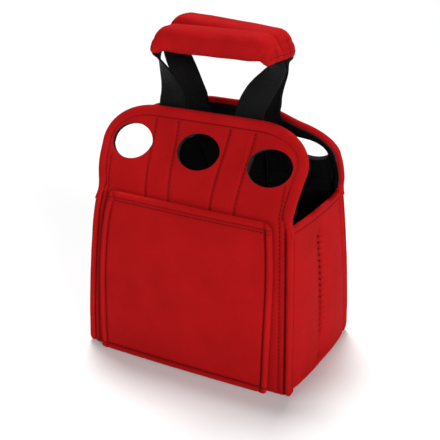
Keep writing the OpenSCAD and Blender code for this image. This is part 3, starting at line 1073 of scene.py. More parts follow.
def fin_point(t, a, back, sign):
    """A point of a corner seam: t runs up it, and a round it from its outer edge."""
    tip = BACK_SEAM_TIP if back else SEAM_TIP
    turn = t / TIP_SHARE * math.pi / 2
    if t < TIP_SHARE:
        z = tip * (1 - math.cos(turn))
        draw = mix(0.3, 1, math.sin(turn))
    else:
        z = mix(tip, SEAM_TOP_Z, (t - TIP_SHARE) / (1 - TIP_SHARE))
        draw = 1
    px = power(math.cos(a), 0.95)
    py = power(math.sin(a), 0.95)
    # The outer edge shows the two layers
    part = 0.9 * bell(math.sin(a) / 0.22) if math.cos(a) > 0 else 0
    uneven = 0.25 * wobble(z, a * 4, 12, 3 * sign)
    x = fin_outer(z, back) - FIN_W / 2 + draw * px * (FIN_W / 2 - part + uneven)
    y = -edge_y(z) + SEAM_D / 2 + draw * py * (SEAM_D / 2 + 0.7)
    edge = hem_edge(z, 4.9 - 4.3 * px, back, 0.7)
    hem = Vector(panel_point(edge, z, WALL_T / 2 + 2.2 * py, back))
    spot = Vector((x, y, z)).lerp(hem, ease((z - 138) / 16))
    return place((sign * spot.x, spot.y, spot.z), back)


class CARRIER_OT_corner_seams(bpy.types.Operator):
    """Corner seams, where wall and gusset are sewn together and turned out"""

    bl_idname = "carrier.build_corner_seams"
    bl_label = "Corner seams"

    def execute(self, context):
        looks = finishes(context.scene.carrier_colours)

        def shade(t, a):
            # Painted shade in the notch between the two layers at the seam's outer edge
            return 0.55 * bell(math.sin(a) / 0.18) if math.cos(a) > 0 else 0

        for side in SIDES:
            for hand, sign in HANDS:

                def form(t, a):
                    return fin_point(t, a, side == "back", sign)

                name = f"{side}_{hand}_corner_seam"
                fin = tube(f"{name}_cloth", 110, 24, form, [looks.red], shade)
                settle(fin, (name,), bend=fold_bend(side))
        return {"FINISHED"}


# Gussets ---------------------------------------------------------------------------------

PUCKER_PITCH = 5.5
# Lowest and highest dent of the divider's seam, counted in pitches from the floor
PUCKER_RUN = (5, 22)
GUSSET_TOP_Z = FOLD_Z - 9.65
GUSSET_HEM_W = 5.0
# How deep a stitch of the divider's seam draws the cloth in, and how far the ends lie in
DENT_DEPTH = 3.0
GUSSET_TUCK = 2.4


def gusset_lift(u):
    """The gusset's top edge rises towards its ends, u = -1 and 1, where the flaps start."""
    return 2.0 * abs(u) ** 3


def pucker_run(z):
    """1 along the divider's seam, 0 past its ends."""
    low, high = (k * PUCKER_PITCH for k in PUCKER_RUN)
    return ease((z - low + 5) / 5) * ease((high + 5 - z) / 5)


def dent_at(z):
    """The cloth is drawn in by each stitch: 1 at a stitch, 0 between two."""
    return (0.5 + 0.5 * math.cos(2 * math.pi * z / PUCKER_PITCH)) ** 1.6


def gusset_relief(y, z, sewing, seed):
    fade = 1 - clamp(z / FOLD_Z) ** SIDE_POWER
    sewn = pucker_run(z)
    depth = fade * ease((z - 3) / 6) * (1.3 * bell(y / 3.2) + 1.5 * bell(y / 16))
    # Dents at the stitches, and the puckers that fan out from them
    depth += DENT_DEPTH * dent_at(z) * sewn * bell(y / 2.3)
    wave = math.cos(2 * math.pi * (z + 0.3 * abs(y)) / PUCKER_PITCH)
    depth += sewing.pucker * wave * sewn * bell(y / 6.0)
    depth -= sewing.unevenness * wobble(y, z, 26, seed)
    # A small pinch where the seam ends near the floor
    depth += 1.3 * bell((z - 9 - 0.15 * y) / 1.6) * bell((y + 4) / 12)
    depth += GUSSET_TUCK * ease((abs(y) - gusset_end(z) + 2.6) / 3)
    return depth + turned_under(z)


def gusset_seam_shade(y, z):
    # Painted shade: darker in the dents of the divider's seam and in the groove beside each corner
    # seam
    shade = bell(y / 2.0) * pucker_run(z) * (0.1 + 0.9 * dent_at(z))
    return clamp(max(shade, 0.9 * bell((abs(y) - gusset_end(z)) / 1.6)))


class CARRIER_OT_gussets(bpy.types.Operator):
    """Side gussets with the puckered seam of the divider, and their level rolled hems"""

    bl_idname = "carrier.build_gussets"
    bl_label = "Gussets and their hems"

    def execute(self, context):
        looks = finishes(context.scene.carrier_colours)
        sewing = context.scene.carrier_sewing
        for seed, (hand, sign) in enumerate(HANDS):

            def at(y, z, depth):
                x, y, z = gusset_point(y, z, depth)
                return place((sign * x, y, z))

            def relief(y, z):
                return gusset_relief(y, z, sewing, seed + 9)

            def flat(u, t):
                # Closer columns at the divider's seam
                u = power(u, 1.4)
                z = t * (GUSSET_TOP_Z - 4.5 + gusset_lift(u))
                return u * (gusset_end(z) + 3), z

            gusset = sheet(
                f"{hand}_gusset_cloth",
                flat_grid(96, 168, flat),
                lambda y, z: at(y, z, relief(y, z)),
                gusset_seam_shade,
                (sign, 0, 0),
                [looks.red, looks.black, looks.edge],
            )
            thicken(gusset, WALL_T, inside=1, rim=2)
            smooth(gusset)
            settle(gusset, (f"{hand}_gusset",), body="tub")

            def form(t, a):
                m, d = hem_section(a, GUSSET_HEM_W, 0.2 * wobble(t * 110, a, 8, seed + 15))
                u = mix(-1, 1, t)
                z = GUSSET_TOP_Z - m + gusset_lift(u)
                return at(u * (gusset_end(z) + 4), z, d)

            def shade(t, a):
                # Painted shade along the inner edge of the hem roll, where it meets the gusset
                m, _ = hem_section(a, GUSSET_HEM_W, 0)
                return 0.8 * bell((m - GUSSET_HEM_W + 0.4) / 0.7)

            hem = tube(f"{hand}_gusset_hem_roll", 70, 20, form, [looks.red], shade)
            settle(hem, (f"{hand}_gusset_hem",), body="tub")

            top = []
            for u in steps(-1, 1, 50):
                z = GUSSET_TOP_Z - GUSSET_HEM_W - 0.3 + gusset_lift(u)
                top.append((u * gusset_end(z), z, 0.0))
            # Half a pitch more at each end, so that the stitches lie in the dents
            ends = PUCKER_RUN[0] - 0.5, PUCKER_RUN[1] + 0.5
            heights = [k * PUCKER_PITCH for k in steps(*ends, 120)]
            seam = [(0, z, relief(0, z) - 0.2) for z in heights]
            sewn = stitches(
                f"{hand}_gusset_stitches",
                [line_on(at, top)],
                sewing,
                looks.thread,
                [line_on(at, seam)],
            )
            settle(sewn, body="tub")
        return {"FINISHED"}


# Pocket ----------------------------------------------------------------------------------

# Radius of the pocket's upper corners, and of its lower ones
POCKET_EAR = 5
POCKET_TOE = 3
# Half width over which the pocket's face is crowned
POCKET_CROWN = 84
# How far the foot lies to the left, the top edge lies up and slants, the lower edge arches up,
# and the face bulges near the floor
POCKET_LEFT = 1.6
POCKET_UP = 1.2
POCKET_SLANT = 0.9
POCKET_ARCH = 0.8
POCKET_BULGE = 2.0
# Distances of the stitches from the lower edge, and of the two lines from the top edge
POCKET_FOOT_LINE = 5
POCKET_TOP_LINES = (5.6, 8.6)


def pocket_x(z):
    """Half width of the pocket, with its rounded upper corners."""
    if z > POCKET_MID_Z:
        share = ((z - POCKET_MID_Z) / (POCKET_H - POCKET_MID_Z)) ** 2.6
        x = mix(POCKET_MID_W, POCKET_TOP_W, share) / 2
    else:
        share = ((POCKET_MID_Z - z) / POCKET_MID_Z) ** 2
        x = mix(POCKET_MID_W, POCKET_FOOT_W, share) / 2
    over = clamp((z - (POCKET_H - POCKET_EAR)) / POCKET_EAR)
    under = clamp((POCKET_TOE - z) / POCKET_TOE)
    return x - POCKET_EAR * rounding(over) - 2 * rounding(under)


def pocket_mid(z):
    """The pocket's middle lies a little to the left, except at its top."""
    return -POCKET_LEFT * (1 - clamp(z / POCKET_H) ** 2)


def pocket_foot(x):
    """The lower edge arches up a little between its corners."""
    return POCKET_ARCH * (1 - (x / (POCKET_FOOT_W / 2)) ** 2)


def pocket_top(x):
    """The top edge is sewn on slightly askew, higher at the left."""
    return POCKET_H + POCKET_UP - POCKET_SLANT * x / (POCKET_TOP_W / 2)


def pocket_parts(x, z):
    """Distances from the side edge, the top edge and the lower edge."""
    side = pocket_x(min(z, POCKET_H - POCKET_EAR)) - abs(x - pocket_mid(z))
    return side, pocket_top(x) - z, z - pocket_foot(x)


def pocket_relief(x, z, sewing):
    """How far the pocket's face stands proud of the wall."""
    side, top, foot = pocket_parts(x, z)
    raised = max(
        1 - ease((side - 4.4) / 1.4), 1 - ease((foot - 3.4) / 1.2), 1 - ease((top - 4.6) / 1.2)
    )
    depth = sewing.channel_depth
    upper, lower = POCKET_TOP_LINES
    groove = max(
        channel(side - POCKET_RIDGE_W, depth),
        channel(foot - POCKET_FOOT_LINE, depth),
        channel(top - upper, depth),
        channel(top - lower, depth * 0.6),
    )
    turned = max(
        2.0 * clamp(1 - side / 1.6) ** 2,
        1.0 * clamp(1 - foot / 1.2) ** 2,
        1.6 * clamp(1 - top / 2.0) ** 2,
    )
    flat = POCKET_GAP + POCKET_T
    middle = 1 - (x / POCKET_CROWN) ** 2
    crown = 0.7 * math.sin(math.pi * clamp(z / POCKET_H)) * middle
    crown *= ease((side - 6) / 10)
    crown += POCKET_BULGE * middle * bell(z / 30)
    puff = max(
        0.6 * bell((side - 3) / 2.0), 0.4 * bell((foot - 2.6) / 1.6), 0.7 * bell((top - 2.9) / 1.9)
    )
    uneven = puff + sewing.unevenness * wobble(x, z, 40, 21)
    return flat + (POCKET_PROUD - flat + 0.3) * raised + crown + uneven - groove - turned


def pocket_seam_shade(x, z):
    # Painted shade in the channels of the stitch lines beside the side and lower edges and under
    # the top edge
    side, top, foot = pocket_parts(x, z)
    upper, lower = POCKET_TOP_LINES
    shades = (
        0.8 * bell((side - POCKET_RIDGE_W) / 0.9),
        0.8 * bell((foot - POCKET_FOOT_LINE) / 0.9),
        0.8 * bell((top - upper) / 0.8),
        0.5 * bell((top - lower) / 0.7),
    )
    return clamp(max(shades))


class CARRIER_OT_pocket(bpy.types.Operator):
    """Flat pocket on the front, with a double stitched hem and raised edges"""

    bl_idname = "carrier.build_pocket"
    bl_label = "Pocket"

    def execute(self, context):
        looks = finishes(context.scene.carrier_colours)
        sewing = context.scene.carrier_sewing

        def flat(u, t):
            x = pocket_mid(t * POCKET_H) + u * pocket_x(t * POCKET_H)
            return x, mix(pocket_foot(x), pocket_top(x), t)

        def surface(x, z, depth=0):
            proud = pocket_relief(x, z, sewing) - depth
            return place((x, -wall_y(x, z) - proud, z))

        pocket = sheet(
            "pocket_cloth",
            flat_grid(140, 124, flat),
            surface,
            pocket_seam_shade,
            (0, -1, 0),
            [looks.red, looks.black],
        )
        thicken(pocket, POCKET_T - 0.2, inside=1)
        smooth(pocket, angle=60)
        parts = "panel", "top_hem", "left_ridge", "right_ridge", "bottom_ridge"
        settle(pocket, [f"pocket_{part}" for part in parts], body="tub")

        lines = []
        span = POCKET_TOP_W / 2
        for s in (-1, 1):
            heights = steps(6, 142, 70)
            lines.append([(pocket_mid(z) + s * (pocket_x(z) - POCKET_RIDGE_W), z) for z in heights])
            # A short upright line closes each end of the top hem
            end = s * (span - 5)
            lines.append([(end, pocket_top(end) - drop) for drop in (8.6, 5, 2)])
        for drop in POCKET_TOP_LINES:
            lines.append([(x, pocket_top(x) - drop) for x in steps(6 - span, span - 6, 70)])
        lines.append([(x, pocket_foot(x) + POCKET_FOOT_LINE) for x in steps(-76, 76, 70)])
        lines = [line_on(surface, [(x, z, 0) for x, z in line]) for line in lines]
        sewn = stitches("pocket_stitches", lines, sewing, looks.thread)
        settle(sewn, body="tub")
        return {"FINISHED"}


# Base and dividers -----------------------------------------------------------------------


class CARRIER_OT_base(bpy.types.Operator):
    """Base panel, black neoprene, with a bound edge and quilted rows"""

    bl_idname = "carrier.build_base"
    bl_label = "Base"

    def execute(self, context):
        looks = finishes(context.scene.carrier_colours)
        wide = wall_end(0) - SEAT
        deep = gusset_end(0) - SEAT
        gap = WALL_T + 0.4

        def flat(u, t):
            v = 2 * t - 1
            x = u * (gusset_point(v * deep, 0, 0)[0] - gap)
            return x, v * (wall_y(u * wide, 0) - gap)

        def form(x, y):
            edge = min(wide + 1 - abs(x), wall_y(x, 0) - gap - abs(y))
            # Rows of stitches along the edge, under the dividers and down the middle
            rows = (edge - 7, x + HOLE_PITCH / 2, x - HOLE_PITCH / 2, y)
            dip = max(0.35 * bell(row / 1.2) for row in rows)
            turned = 0.8 * clamp(1 - edge / 1.5) ** 2
            return place((x, y, BASE_T - 0.1 - dip - turned))

        grid = flat_grid(96, 64, flat)
        base = sheet("base_cloth", grid, form, lambda x, y: 0.0, (0, 0, 1), [looks.black])
        thicken(base, BASE_T - 1.4)
        smooth(base)
        settle(base, ("base_panel",), body="tub")
        return {"FINISHED"}


# Height and thickness of a divider's bound top edge, and the share of it that the rest has
BEAD_H = 6
BEAD_T = DIVIDER_T * 1.45
BEAD_SHARE = 0.62


def divider_bead(z):
    """The bound top edge of a divider is thicker than the rest."""
    return ease(z - (DIVIDER_TOP - BEAD_H))


class CARRIER_OT_dividers(bpy.types.Operator):
    """Dividers that part the six cells, black neoprene with a bound top edge"""

    bl_idname = "carrier.build_dividers"
    bl_label = "Dividers"

    def execute(self, context):
        looks = finishes(context.scene.carrier_colours)
        low = BASE_T + SEAT

        def divider(name, flat, form, direction):
            def shade(a, z):
                # Painted shade just below the bound top edge
                return 0.6 * bell((z - (DIVIDER_TOP - BEAD_H - 0.4)) / 0.7)

            grid = flat_grid(60, 60, flat)
            piece = sheet(f"{name}_cloth", grid, form, shade, direction, [looks.black])
            bind = piece.vertex_groups.new(name="bound")
            for v in piece.data.vertices:
                share = mix(BEAD_SHARE, 1, divider_bead(v.co.z / MM))
                bind.add([v.index], share, "REPLACE")
            solid = piece.modifiers.new("Thickness", "SOLIDIFY")
            solid.thickness = BEAD_T * MM
            solid.offset = 0
            solid.vertex_group = "bound"
            bake(piece)
            smooth(piece)
            settle(piece, (name,), body="tub")

        def centre_flat(u, t):
            z = mix(low, DIVIDER_TOP, t)
            return u * (gusset_point(0, z, WALL_T + 1.6)[0]), z

        def centre_form(x, z):
            # The cloth sways to and fro a little from cell to cell
            y = 0.5 * math.sin(math.pi * x / HOLE_PITCH) * math.sin(math.pi * z / DIVIDER_TOP)
            sag = 1.2 * math.cos(math.pi * x / HOLE_PITCH) ** 2 * divider_bead(z)
            return Vector((x, y + MID_Y, z - sag * ease((z - 90) / 40))) * MM

        divider("centre_divider", centre_flat, centre_form, (0, -1, 0))

        def flat(u, t):
            z = mix(low, DIVIDER_TOP, t)
            far = wall_y(HOLE_PITCH / 2, z) - WALL_T - 0.4
            return mix(-far, -1.6, (u + 1) / 2), z

        for side in SIDES:
            for hand, sign in HANDS:

                def form(y, z):
                    sway = 0.6 * math.sin(math.pi * y / 60) * math.sin(math.pi * z / DIVIDER_TOP)
                    sag = 1.4 * math.sin(math.pi * clamp(-y / 58)) * ease((z - 90) / 40)
                    x = sign * (HOLE_PITCH / 2 + sway)
                    return place((x, y, z - sag), side == "back")

                divider(f"{side}_{hand}_divider", flat, form, (1, 0, 0))
        return {"FINISHED"}


# Webbing ---------------------------------------------------------------------------------

RIB_HEIGHT = 0.13
# Rows of a sewn strap's grid, and the rows that stitches cross
TAIL_ROWS = 60
CROSSED_ROWS = (2, 56)


def webbing(name, path, material):
    """Webbing along a path of (centre, across, out, half width) in metres."""
    lengths = [0.0]
    for a, b in zip(path, path[1:]):
        lengths.append(lengths[-1] + (b[0] - a[0]).length)
    total = lengths[-1]
    rows = len(path) - 1
    bm = bmesh.new()
    bmesh.ops.create_grid(bm, x_segments=44, y_segments=rows, size=1.0)
    place_of = {}
    for v in bm.verts:
        u, i = v.co.x, round((v.co.y + 1) / 2 * rows)
        centre, across, out, half = path[i]
        rib = RIB_HEIGHT * MM * math.cos(2 * math.pi * u * half / MM / RIB_PITCH)
        edge = 0.35 * MM * clamp((abs(u) - 0.93) / 0.07)
        place_of[v] = (u * half / MM, lengths[i] / MM)
        v.co = centre + across * (u * half) + out * (rib - edge)
    weave = bm.loops.layers.uv.new("weave")
    for f in bm.faces:
        for loop in f.loops:
            loop[weave].uv = place_of[loop.vert]
    piece = new_piece(name, bm, [material])
    thicken(piece, WEB_T - 0.3, offset=0.0)
    soften = piece.modifiers.new("Edges", "BEVEL")
    soften.width = 0.45 * MM
    soften.segments = 2
    soften.limit_method = "ANGLE"
    soften.angle_limit = math.radians(60)
    bake(piece)
    smooth(piece)
    return piece


def tail_row(z, sign, back):
    """One row of a sewn strap's path, as webbing() takes it."""
    x = web_at(z)
    depth = mix(WALL_T + 0.4 + WEB_T / 2, WEB_DEPTH + WEB_T / 2, flap_share(z))

    def at(x, d):
        return on_panel(back, sign * x, z, d)

    across = (at(x + 6, depth) - at(x - 6, depth)).normalized()
    out = (at(x, depth) - at(x, depth - 1)).normalized()
    return at(x, depth), across, out, WEB_W / 2 * MM


def on_webbing(row, off):
    """A stitch's place on a row of the webbing, off millimetres from its middle."""
    c, across, out, _ = row
    return c + across * (off * MM) + out * (WEB_T / 2 + 0.05) * MM, out


class CARRIER_OT_strap_tails(bpy.types.Operator):
    """Webbing sewn down the inside of the flaps and the walls"""

    bl_idname = "carrier.build_strap_tails"
    bl_label = "Sewn ends of the straps"

    def execute(self, context):
        looks = finishes(context.scene.carrier_colours)
        sewing = context.scene.carrier_sewing
        reach = WEB_W / 2 - WEB_LINE_IN
        for side in SIDES:
            for hand, sign in HANDS:
                heights = steps(FOLD_Z - ANCHOR_L, WEB_JOIN_Z, TAIL_ROWS)
                path = [tail_row(z, sign, side == "back") for z in heights]
                tail = webbing(f"{side}_{hand}_sewn_webbing", path, looks.webbing)
                nodes = f"{side}_{hand}_strap_tail", f"{side}_{hand}_strap_anchor"
                settle(tail, nodes, bend=fold_bend(side))
                lines = [[on_webbing(row, off) for row in path[2:-1]] for off in (-reach, reach)]
                for i in CROSSED_ROWS:
                    lines.append([on_webbing(path[i], off) for off in (-11, -5, 0, 5, 11)])
                name = f"{side}_{hand}_webbing_stitches"
                sewn = stitches(name, lines, sewing, looks.black_thread)
                settle(sewn, bend=fold_bend(side))
        return {"FINISHED"}


# Grips -----------------------------------------------------------------------------------

GRIP_END_H = 5.6
# The sleeve's ends reach a little past the ends of its foam
GRIP_PAST = 1.5
# Share of a grip that is straight
GRIP_STRAIGHT = 0.72
# Places along a grip of the creases before its ends, and of the stitches at its ends
CREASE_AT = 0.86
END_STITCHES_AT = 0.95
CREASE_DEPTH = 0.5
UNDER_SEAM_DEPTH = 0.8
# Distance from a grip's middle where its swelling starts to fade, and over which it does
FADE_FROM = 30
FADE_OVER = 14


def held(point, lie):
    """A point of a grip, moved and turned as the grip is held."""
    x, y, z = point
    shift, rise, tilt = lie
    dz = z - GRIP_Z
    return Vector(
        (
            shift + x * math.cos(tilt) + dz * math.sin(tilt),
            y,
            GRIP_Z + rise - x * math.sin(tilt) + dz * math.cos(tilt),
        )
    )


def station(w):
    """(x, z, slope, height) of a grip at w, from -1 at its left end to 1 at its right.

    The middle is straight, and the rest drops, slopes and flattens.
    """
    if abs(w) <= GRIP_STRAIGHT:
        return GRIP_L / 2 * w / GRIP_STRAIGHT, GRIP_Z, 0.0, GRIP_H
    t = (abs(w) - GRIP_STRAIGHT) / (1 - GRIP_STRAIGHT)
    return (
        math.copysign(mix(GRIP_L / 2, GRIP_SPAN / 2 + GRIP_PAST, t), w),
        GRIP_Z - GRIP_DROP * t**1.4,
        math.copysign(GRIP_SLOPE * min(1, 1.3 * t), w),
        mix(GRIP_H, GRIP_END_H, t**1.3),
    )


def grip_point(w, a, lie):
    """A point of a grip's face: w along it and a round it."""
    x, z, slope, height = station(w)
    across = GRIP_D / 2 * power(math.cos(a), 0.52)
    up = height / 2 * power(math.sin(a), 0.52)
    return held((x + up * math.sin(slope), -GRIP_Y + across, z + up * math.cos(slope)), lie)


def strap_rows(sign, back, lie):
    """One strap of a handle, from where the sewn webbing ends to its grip, in millimetres."""
    depth = WEB_DEPTH + WEB_T / 2
    end_x, end_z, slope, _ = station(sign)
    far_x = end_x + sign * STRAP_BEND * math.cos(abs(slope))
    far_z = end_z - STRAP_BEND * math.sin(abs(slope))
    head = held((end_x, -GRIP_Y, end_z), lie)
    bend = held((far_x, -GRIP_Y, far_z), lie)
    foot_x = sign * web_at(FLAP_TOP[1])
    y, _ = drooped(FLAP_TOP[0] + depth / math.cos(LEAN_TOP), FLAP_TOP[1], foot_x, back)
    _, z = drooped(FLAP_TOP[0], FLAP_TOP[1], foot_x, back)
    start = Vector((foot_x, y, z + JOINT_GAP))
    lift = start + STRAP_LIFT * Vector(
        (sign * math.tan(WEB_SPLAY), math.sin(LEAN_TOP), math.cos(LEAN_TOP))
    )
    rows = []
    for z in steps(WEB_JOIN_Z + 0.2, FLAP_TOP[1] - 0.4, 7):
        x = sign * web_at(z)
        here, left, right, under = (
            Vector(panel_point(x + off, z, depth + below, back))
            for off, below in ((0, 0), (-6, 0), (6, 0), (0, 1))
        )
        wide = (right - left).normalized()
        rows.append((here, wide, (under - here).normalized(), WEB_W / 2))
    for t in steps(0, 1, 60)[1:]:
        u = 1 - t
        c = u**3 * start + 3 * u * u * t * lift + 3 * u * t * t * bend + t**3 * head
        along = (
            u * u * (lift - start) + 2 * u * t * (bend - lift) + t * t * (head - bend)
        ).normalized()
        # Most of the quarter turn is even, and the last of it comes close to the grip
        turn = (0.75 * t + 0.25 * t**5) * math.pi / 2
        level = Vector((math.cos(turn), sign * math.sin(turn), 0))
        level = rows[7][1].lerp(level, ease(t / 0.25))
        wide = (level - level.dot(along) * along).normalized()
        rows.append((c, wide, wide.cross(along), mix(WEB_W, GRIP_WEB_W, t) / 2))
    return rows


def handle_path(back, lie):
    """The webbing of one handle: left foot, through the grip, right foot."""
    rows = strap_rows(-1, back, lie)
    for t in steps(0, 1, 60)[1:-1]:
        x, z, _, _ = station(mix(-1, 1, t))
        ahead = station(mix(-1, 1, t + 0.01))
        c = held((x, -GRIP_Y, z), lie)
        way = (held((ahead[0], -GRIP_Y, ahead[1]), lie) - c).normalized()
        wide = Vector((0, -1, 0))
        rows.append((c, wide, wide.cross(way), GRIP_WEB_W / 2))
    rows += [(c, -wide, out, half) for c, wide, out, half in reversed(strap_rows(1, back, lie))]
    twin = Vector((1, -1 if back else 1, 1))
    return [(place(c, back), wide * twin, out * twin, half * MM) for c, wide, out, half in rows]


def handle_bend(side):
    """The bend where a handle's straps come up from the flap's top edge."""
    y = (-FLAP_TOP[0] if side == "back" else FLAP_TOP[0]) + MID_Y
    low, high = HANDLE_BEND_Z
    return f"{side}_flap_body", f"{side}_handle", (0, y * MM, low * MM), (0, y * MM, high * MM)


class CARRIER_OT_handle_webbing(bpy.types.Operator):
    """Webbing of the handles: up from the flaps, a quarter turn, and through the grips"""

    bl_idname = "carrier.build_handle_webbing"
    bl_label = "Handle webbing"

    def execute(self, context):
        looks = finishes(context.scene.carrier_colours)
        for side, lie in (("front", FRONT_LIE), ("back", BACK_LIE)):
            path = handle_path(side == "back", lie)
            piece = webbing(f"{side}_handle_webbing", path, looks.webbing)
            nodes = [f"{side}_{part}" for part in ("left_strap", "right_strap", "grip_webbing")]
            settle(piece, nodes, bend=handle_bend(side))
        return {"FINISHED"}


def fill_sleeve(piece, padding):
    """Swells a closed sleeve with the cloth simulation, and applies it."""
    scene = bpy.context.scene
    remesh = piece.modifiers.new("Remesh", "REMESH")
    remesh.mode = "VOXEL"
    remesh.voxel_size = padding.voxel * MM
    bake(piece)
    start = [v.co.copy() for v in piece.data.vertices]
    cloth = piece.modifiers.new("Fill", "CLOTH")
    cloth.settings.use_pressure = True
    cloth.settings.uniform_pressure_force = padding.pressure
    cloth.settings.effector_weights.gravity = 0
    cloth.point_cache.frame_start = 1
    cloth.point_cache.frame_end = padding.frames
    for f in range(1, padding.frames + 1):
        scene.frame_set(f)
    bake(piece)
    scene.frame_set(1)
    middle = sum(start, Vector()) / len(start)
    for v, was in zip(piece.data.vertices, start):
        # The stitched ends stay flat
        off = abs((was - middle).x) / MM
        cap = padding.swell_cap * MM * (1 - ease((off - FADE_FROM) / FADE_OVER))
        move = v.co - was
        if move.length > cap:
            v.co = was + move * (cap / move.length)
    finer = piece.modifiers.new("Finer", "SUBSURF")
    finer.levels = 1
    finer.render_levels = 1
    bake(piece)


def mark_grip(grip, back, lie):
    """Presses the crease before each end and the seam along the underside into a grip, and paints
    shade along that seam.
    """
    ends = []
    for w in (-CREASE_AT, CREASE_AT):
        x, z, slope, _ = station(w)
        spot = place(held((x, -GRIP_Y, z), lie), back)
        ends.append((spot, Vector((math.cos(slope), 0, -math.sin(slope)))))
    middle = place(held((0, -GRIP_Y, GRIP_Z), lie), back)
    shades = []
    for v in grip.data.vertices:
        depth = 0.0
        shade = 0.0
        for spot, way in ends:
            depth += CREASE_DEPTH * bell((v.co - spot).dot(way) / MM / 1.6)
        across = (v.co.y - middle.y) / MM
        if v.co.z < middle.z:
            depth += UNDER_SEAM_DEPTH * bell(across / 1.3)
            # Painted shade along the seam under the grip
            shade = 0.6 * bell(across / 1.0)
        uneven = 0.3 * wobble(v.co.x / MM, v.co.z / MM + v.co.y / MM, 14, 31)
        v.co -= v.normal * (depth + uneven) * MM
        shades.append(shade)
    grip.data.attributes.new("seam", "FLOAT", "POINT").data.foreach_set("value", shades)


class CARRIER_OT_grips(bpy.types.Operator):
    """Padded grips: foam filled neoprene sleeves, flattened and stitched at their ends"""

    bl_idname = "carrier.build_grips"
    bl_label = "Grips"

    def execute(self, context):
        looks = finishes(context.scene.carrier_colours)
        for side, lie in (("front", FRONT_LIE), ("back", BACK_LIE)):
            back = side == "back"

            def at(w, a):
                return place(grip_point(w, a, lie), back)

            grip = tube(
                f"{side}_grip_cover", 90, 32, lambda t, a: at(mix(-1, 1, t), a), [looks.red]
            )
            fill_sleeve(grip, context.scene.carrier_padding)
            mark_grip(grip, back, lie)
            smooth(grip, angle=70)
            nodes = f"{side}_grip_sleeve", f"{side}_grip_foam"
            settle(grip, nodes, body=f"{side}_handle")

            skin = BVHTree.FromObject(grip, context.evaluated_depsgraph_get())

            def line(pairs):
                hits = [skin.find_nearest(at(w, a)) for w, a in pairs]
                return [(here + out * 0.1 * MM, out) for here, out, _, _ in hits]

            lines = [line([(w, -math.pi / 2) for w in steps(-0.8, 0.8, 60)])]
            for w in (-END_STITCHES_AT, END_STITCHES_AT):
                for a0, a1 in ((0.5, 2.6), (3.7, 5.7)):
                    lines.append(line([(w, a) for a in steps(a0, a1, 24)]))
            sewn = stitches(
                f"{side}_grip_stitches", lines, context.scene.carrier_sewing, looks.thread
            )
            settle(sewn, body=f"{side}_handle")
        return {"FINISHED"}


# Stage -----------------------------------------------------------------------------------

CAMERA_AZ = math.radians(29)
CAMERA_EL = math.radians(21.6)
CAMERA_FAR = 0.815
CAMERA_LENS = 74.6
CAMERA_SHIFT = (-0.003, -0.009)
AIM_Z = 0.12
# Name, rotation in degrees, strength and angular size in degrees of each light
LIGHTS = (
    ("key_light", (73, 0, 57), 2.35, 24),
    ("top_light", (-23, 0, 34), 3.4, 22),
    ("fill_light", (66, 0, -40), 0.3, 60),
)
# How strongly the white backdrop lights the carrier
SKY_LEVEL = 0.17


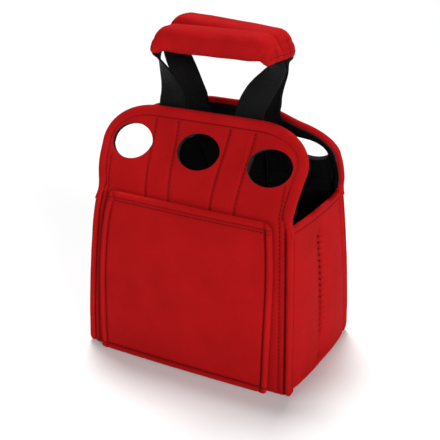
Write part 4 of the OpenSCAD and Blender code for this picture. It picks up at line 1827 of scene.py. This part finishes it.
class CARRIER_OT_stage(bpy.types.Operator):
    """Camera, soft studio light and a plain white floor"""

    bl_idname = "carrier.build_stage"
    bl_label = "Stage"

    def execute(self, context):
        scene = context.scene
        aim = Vector((0, MID_Y * MM, AIM_Z))
        data = bpy.data.cameras.new("photo_camera")
        data.lens = CAMERA_LENS
        data.sensor_width = 36
        data.sensor_fit = "HORIZONTAL"
        data.shift_x, data.shift_y = CAMERA_SHIFT
        data.clip_start = 0.01
        camera = bpy.data.objects.new("photo_camera", data)
        scene.collection.objects.link(camera)
        flat = math.cos(CAMERA_EL)
        way = Vector((math.sin(CAMERA_AZ) * flat, -math.cos(CAMERA_AZ) * flat, math.sin(CAMERA_EL)))
        camera.location = aim + way * CAMERA_FAR
        camera.rotation_euler = way.to_track_quat("Z", "Y").to_euler()
        scene.camera = camera

        for name, turn, strength, angle in LIGHTS:
            lamp = bpy.data.lights.new(name, "SUN")
            lamp.energy = strength
            lamp.angle = math.radians(angle)
            light = bpy.data.objects.new(name, lamp)
            light.rotation_euler = [math.radians(a) for a in turn]
            scene.collection.objects.link(light)

        bm = bmesh.new()
        bmesh.ops.create_grid(bm, x_segments=1, y_segments=1, size=9.0)
        bmesh.ops.translate(bm, verts=bm.verts[:], vec=(0, 0, -0.0002))
        floor = new_piece("floor", bm, [material_of("white_studio_floor", studio_floor)])

        world = bpy.data.worlds.new("studio")
        world.use_nodes = True
        world.node_tree.nodes.clear()
        add = partial(add_node, world.node_tree)
        rays = add("LightPath")["Is Camera Ray"]
        level = add("MapRange", {"Value": rays, "To Min": SKY_LEVEL})["Result"]
        sky = add("Background", {"Color": (1, 1, 1, 1), "Strength": level})["Background"]
        add("OutputWorld", {"Surface": sky})
        scene.world = world
        scene.view_settings.view_transform = "Standard"
        return {"FINISHED"}


class CARRIER_PT_panel(bpy.types.Panel):
    """Lists the steps that build the carrier"""

    bl_idname = "CARRIER_PT_panel"
    bl_label = "Six pack carrier"
    bl_space_type = "VIEW_3D"
    bl_region_type = "UI"
    bl_category = "Carrier"

    def draw(self, context):
        layout = self.layout
        scene = context.scene
        for group in (scene.carrier_sewing, scene.carrier_padding, scene.carrier_colours):
            box = layout.box()
            for name in group.bl_rna.properties.keys():
                if name not in ("rna_type", "name"):
                    box.prop(group, name)
        for operator in BUILD_ORDER:
            layout.operator(operator.bl_idname)


BUILD_ORDER = (
    CARRIER_OT_stage,
    CARRIER_OT_panels,
    CARRIER_OT_flap_hems,
    CARRIER_OT_corner_seams,
    CARRIER_OT_gussets,
    CARRIER_OT_pocket,
    CARRIER_OT_base,
    CARRIER_OT_dividers,
    CARRIER_OT_strap_tails,
    CARRIER_OT_handle_webbing,
    CARRIER_OT_grips,
)
GROUPS = (CarrierSewing, CarrierPadding, CarrierColours)


def register():
    for item in GROUPS + BUILD_ORDER + (CARRIER_PT_panel,):
        bpy.utils.register_class(item)
    bpy.types.Scene.carrier_sewing = PointerProperty(type=CarrierSewing)
    bpy.types.Scene.carrier_padding = PointerProperty(type=CarrierPadding)
    bpy.types.Scene.carrier_colours = PointerProperty(type=CarrierColours)


def unregister():
    del bpy.types.Scene.carrier_colours
    del bpy.types.Scene.carrier_padding
    del bpy.types.Scene.carrier_sewing
    for item in reversed(GROUPS + BUILD_ORDER + (CARRIER_PT_panel,)):
        bpy.utils.unregister_class(item)


def main():
    register()
    for operator in BUILD_ORDER:
        group, name = operator.bl_idname.split(".")
        getattr(getattr(bpy.ops, group), name)()


if __name__ == "__main__":
    main()
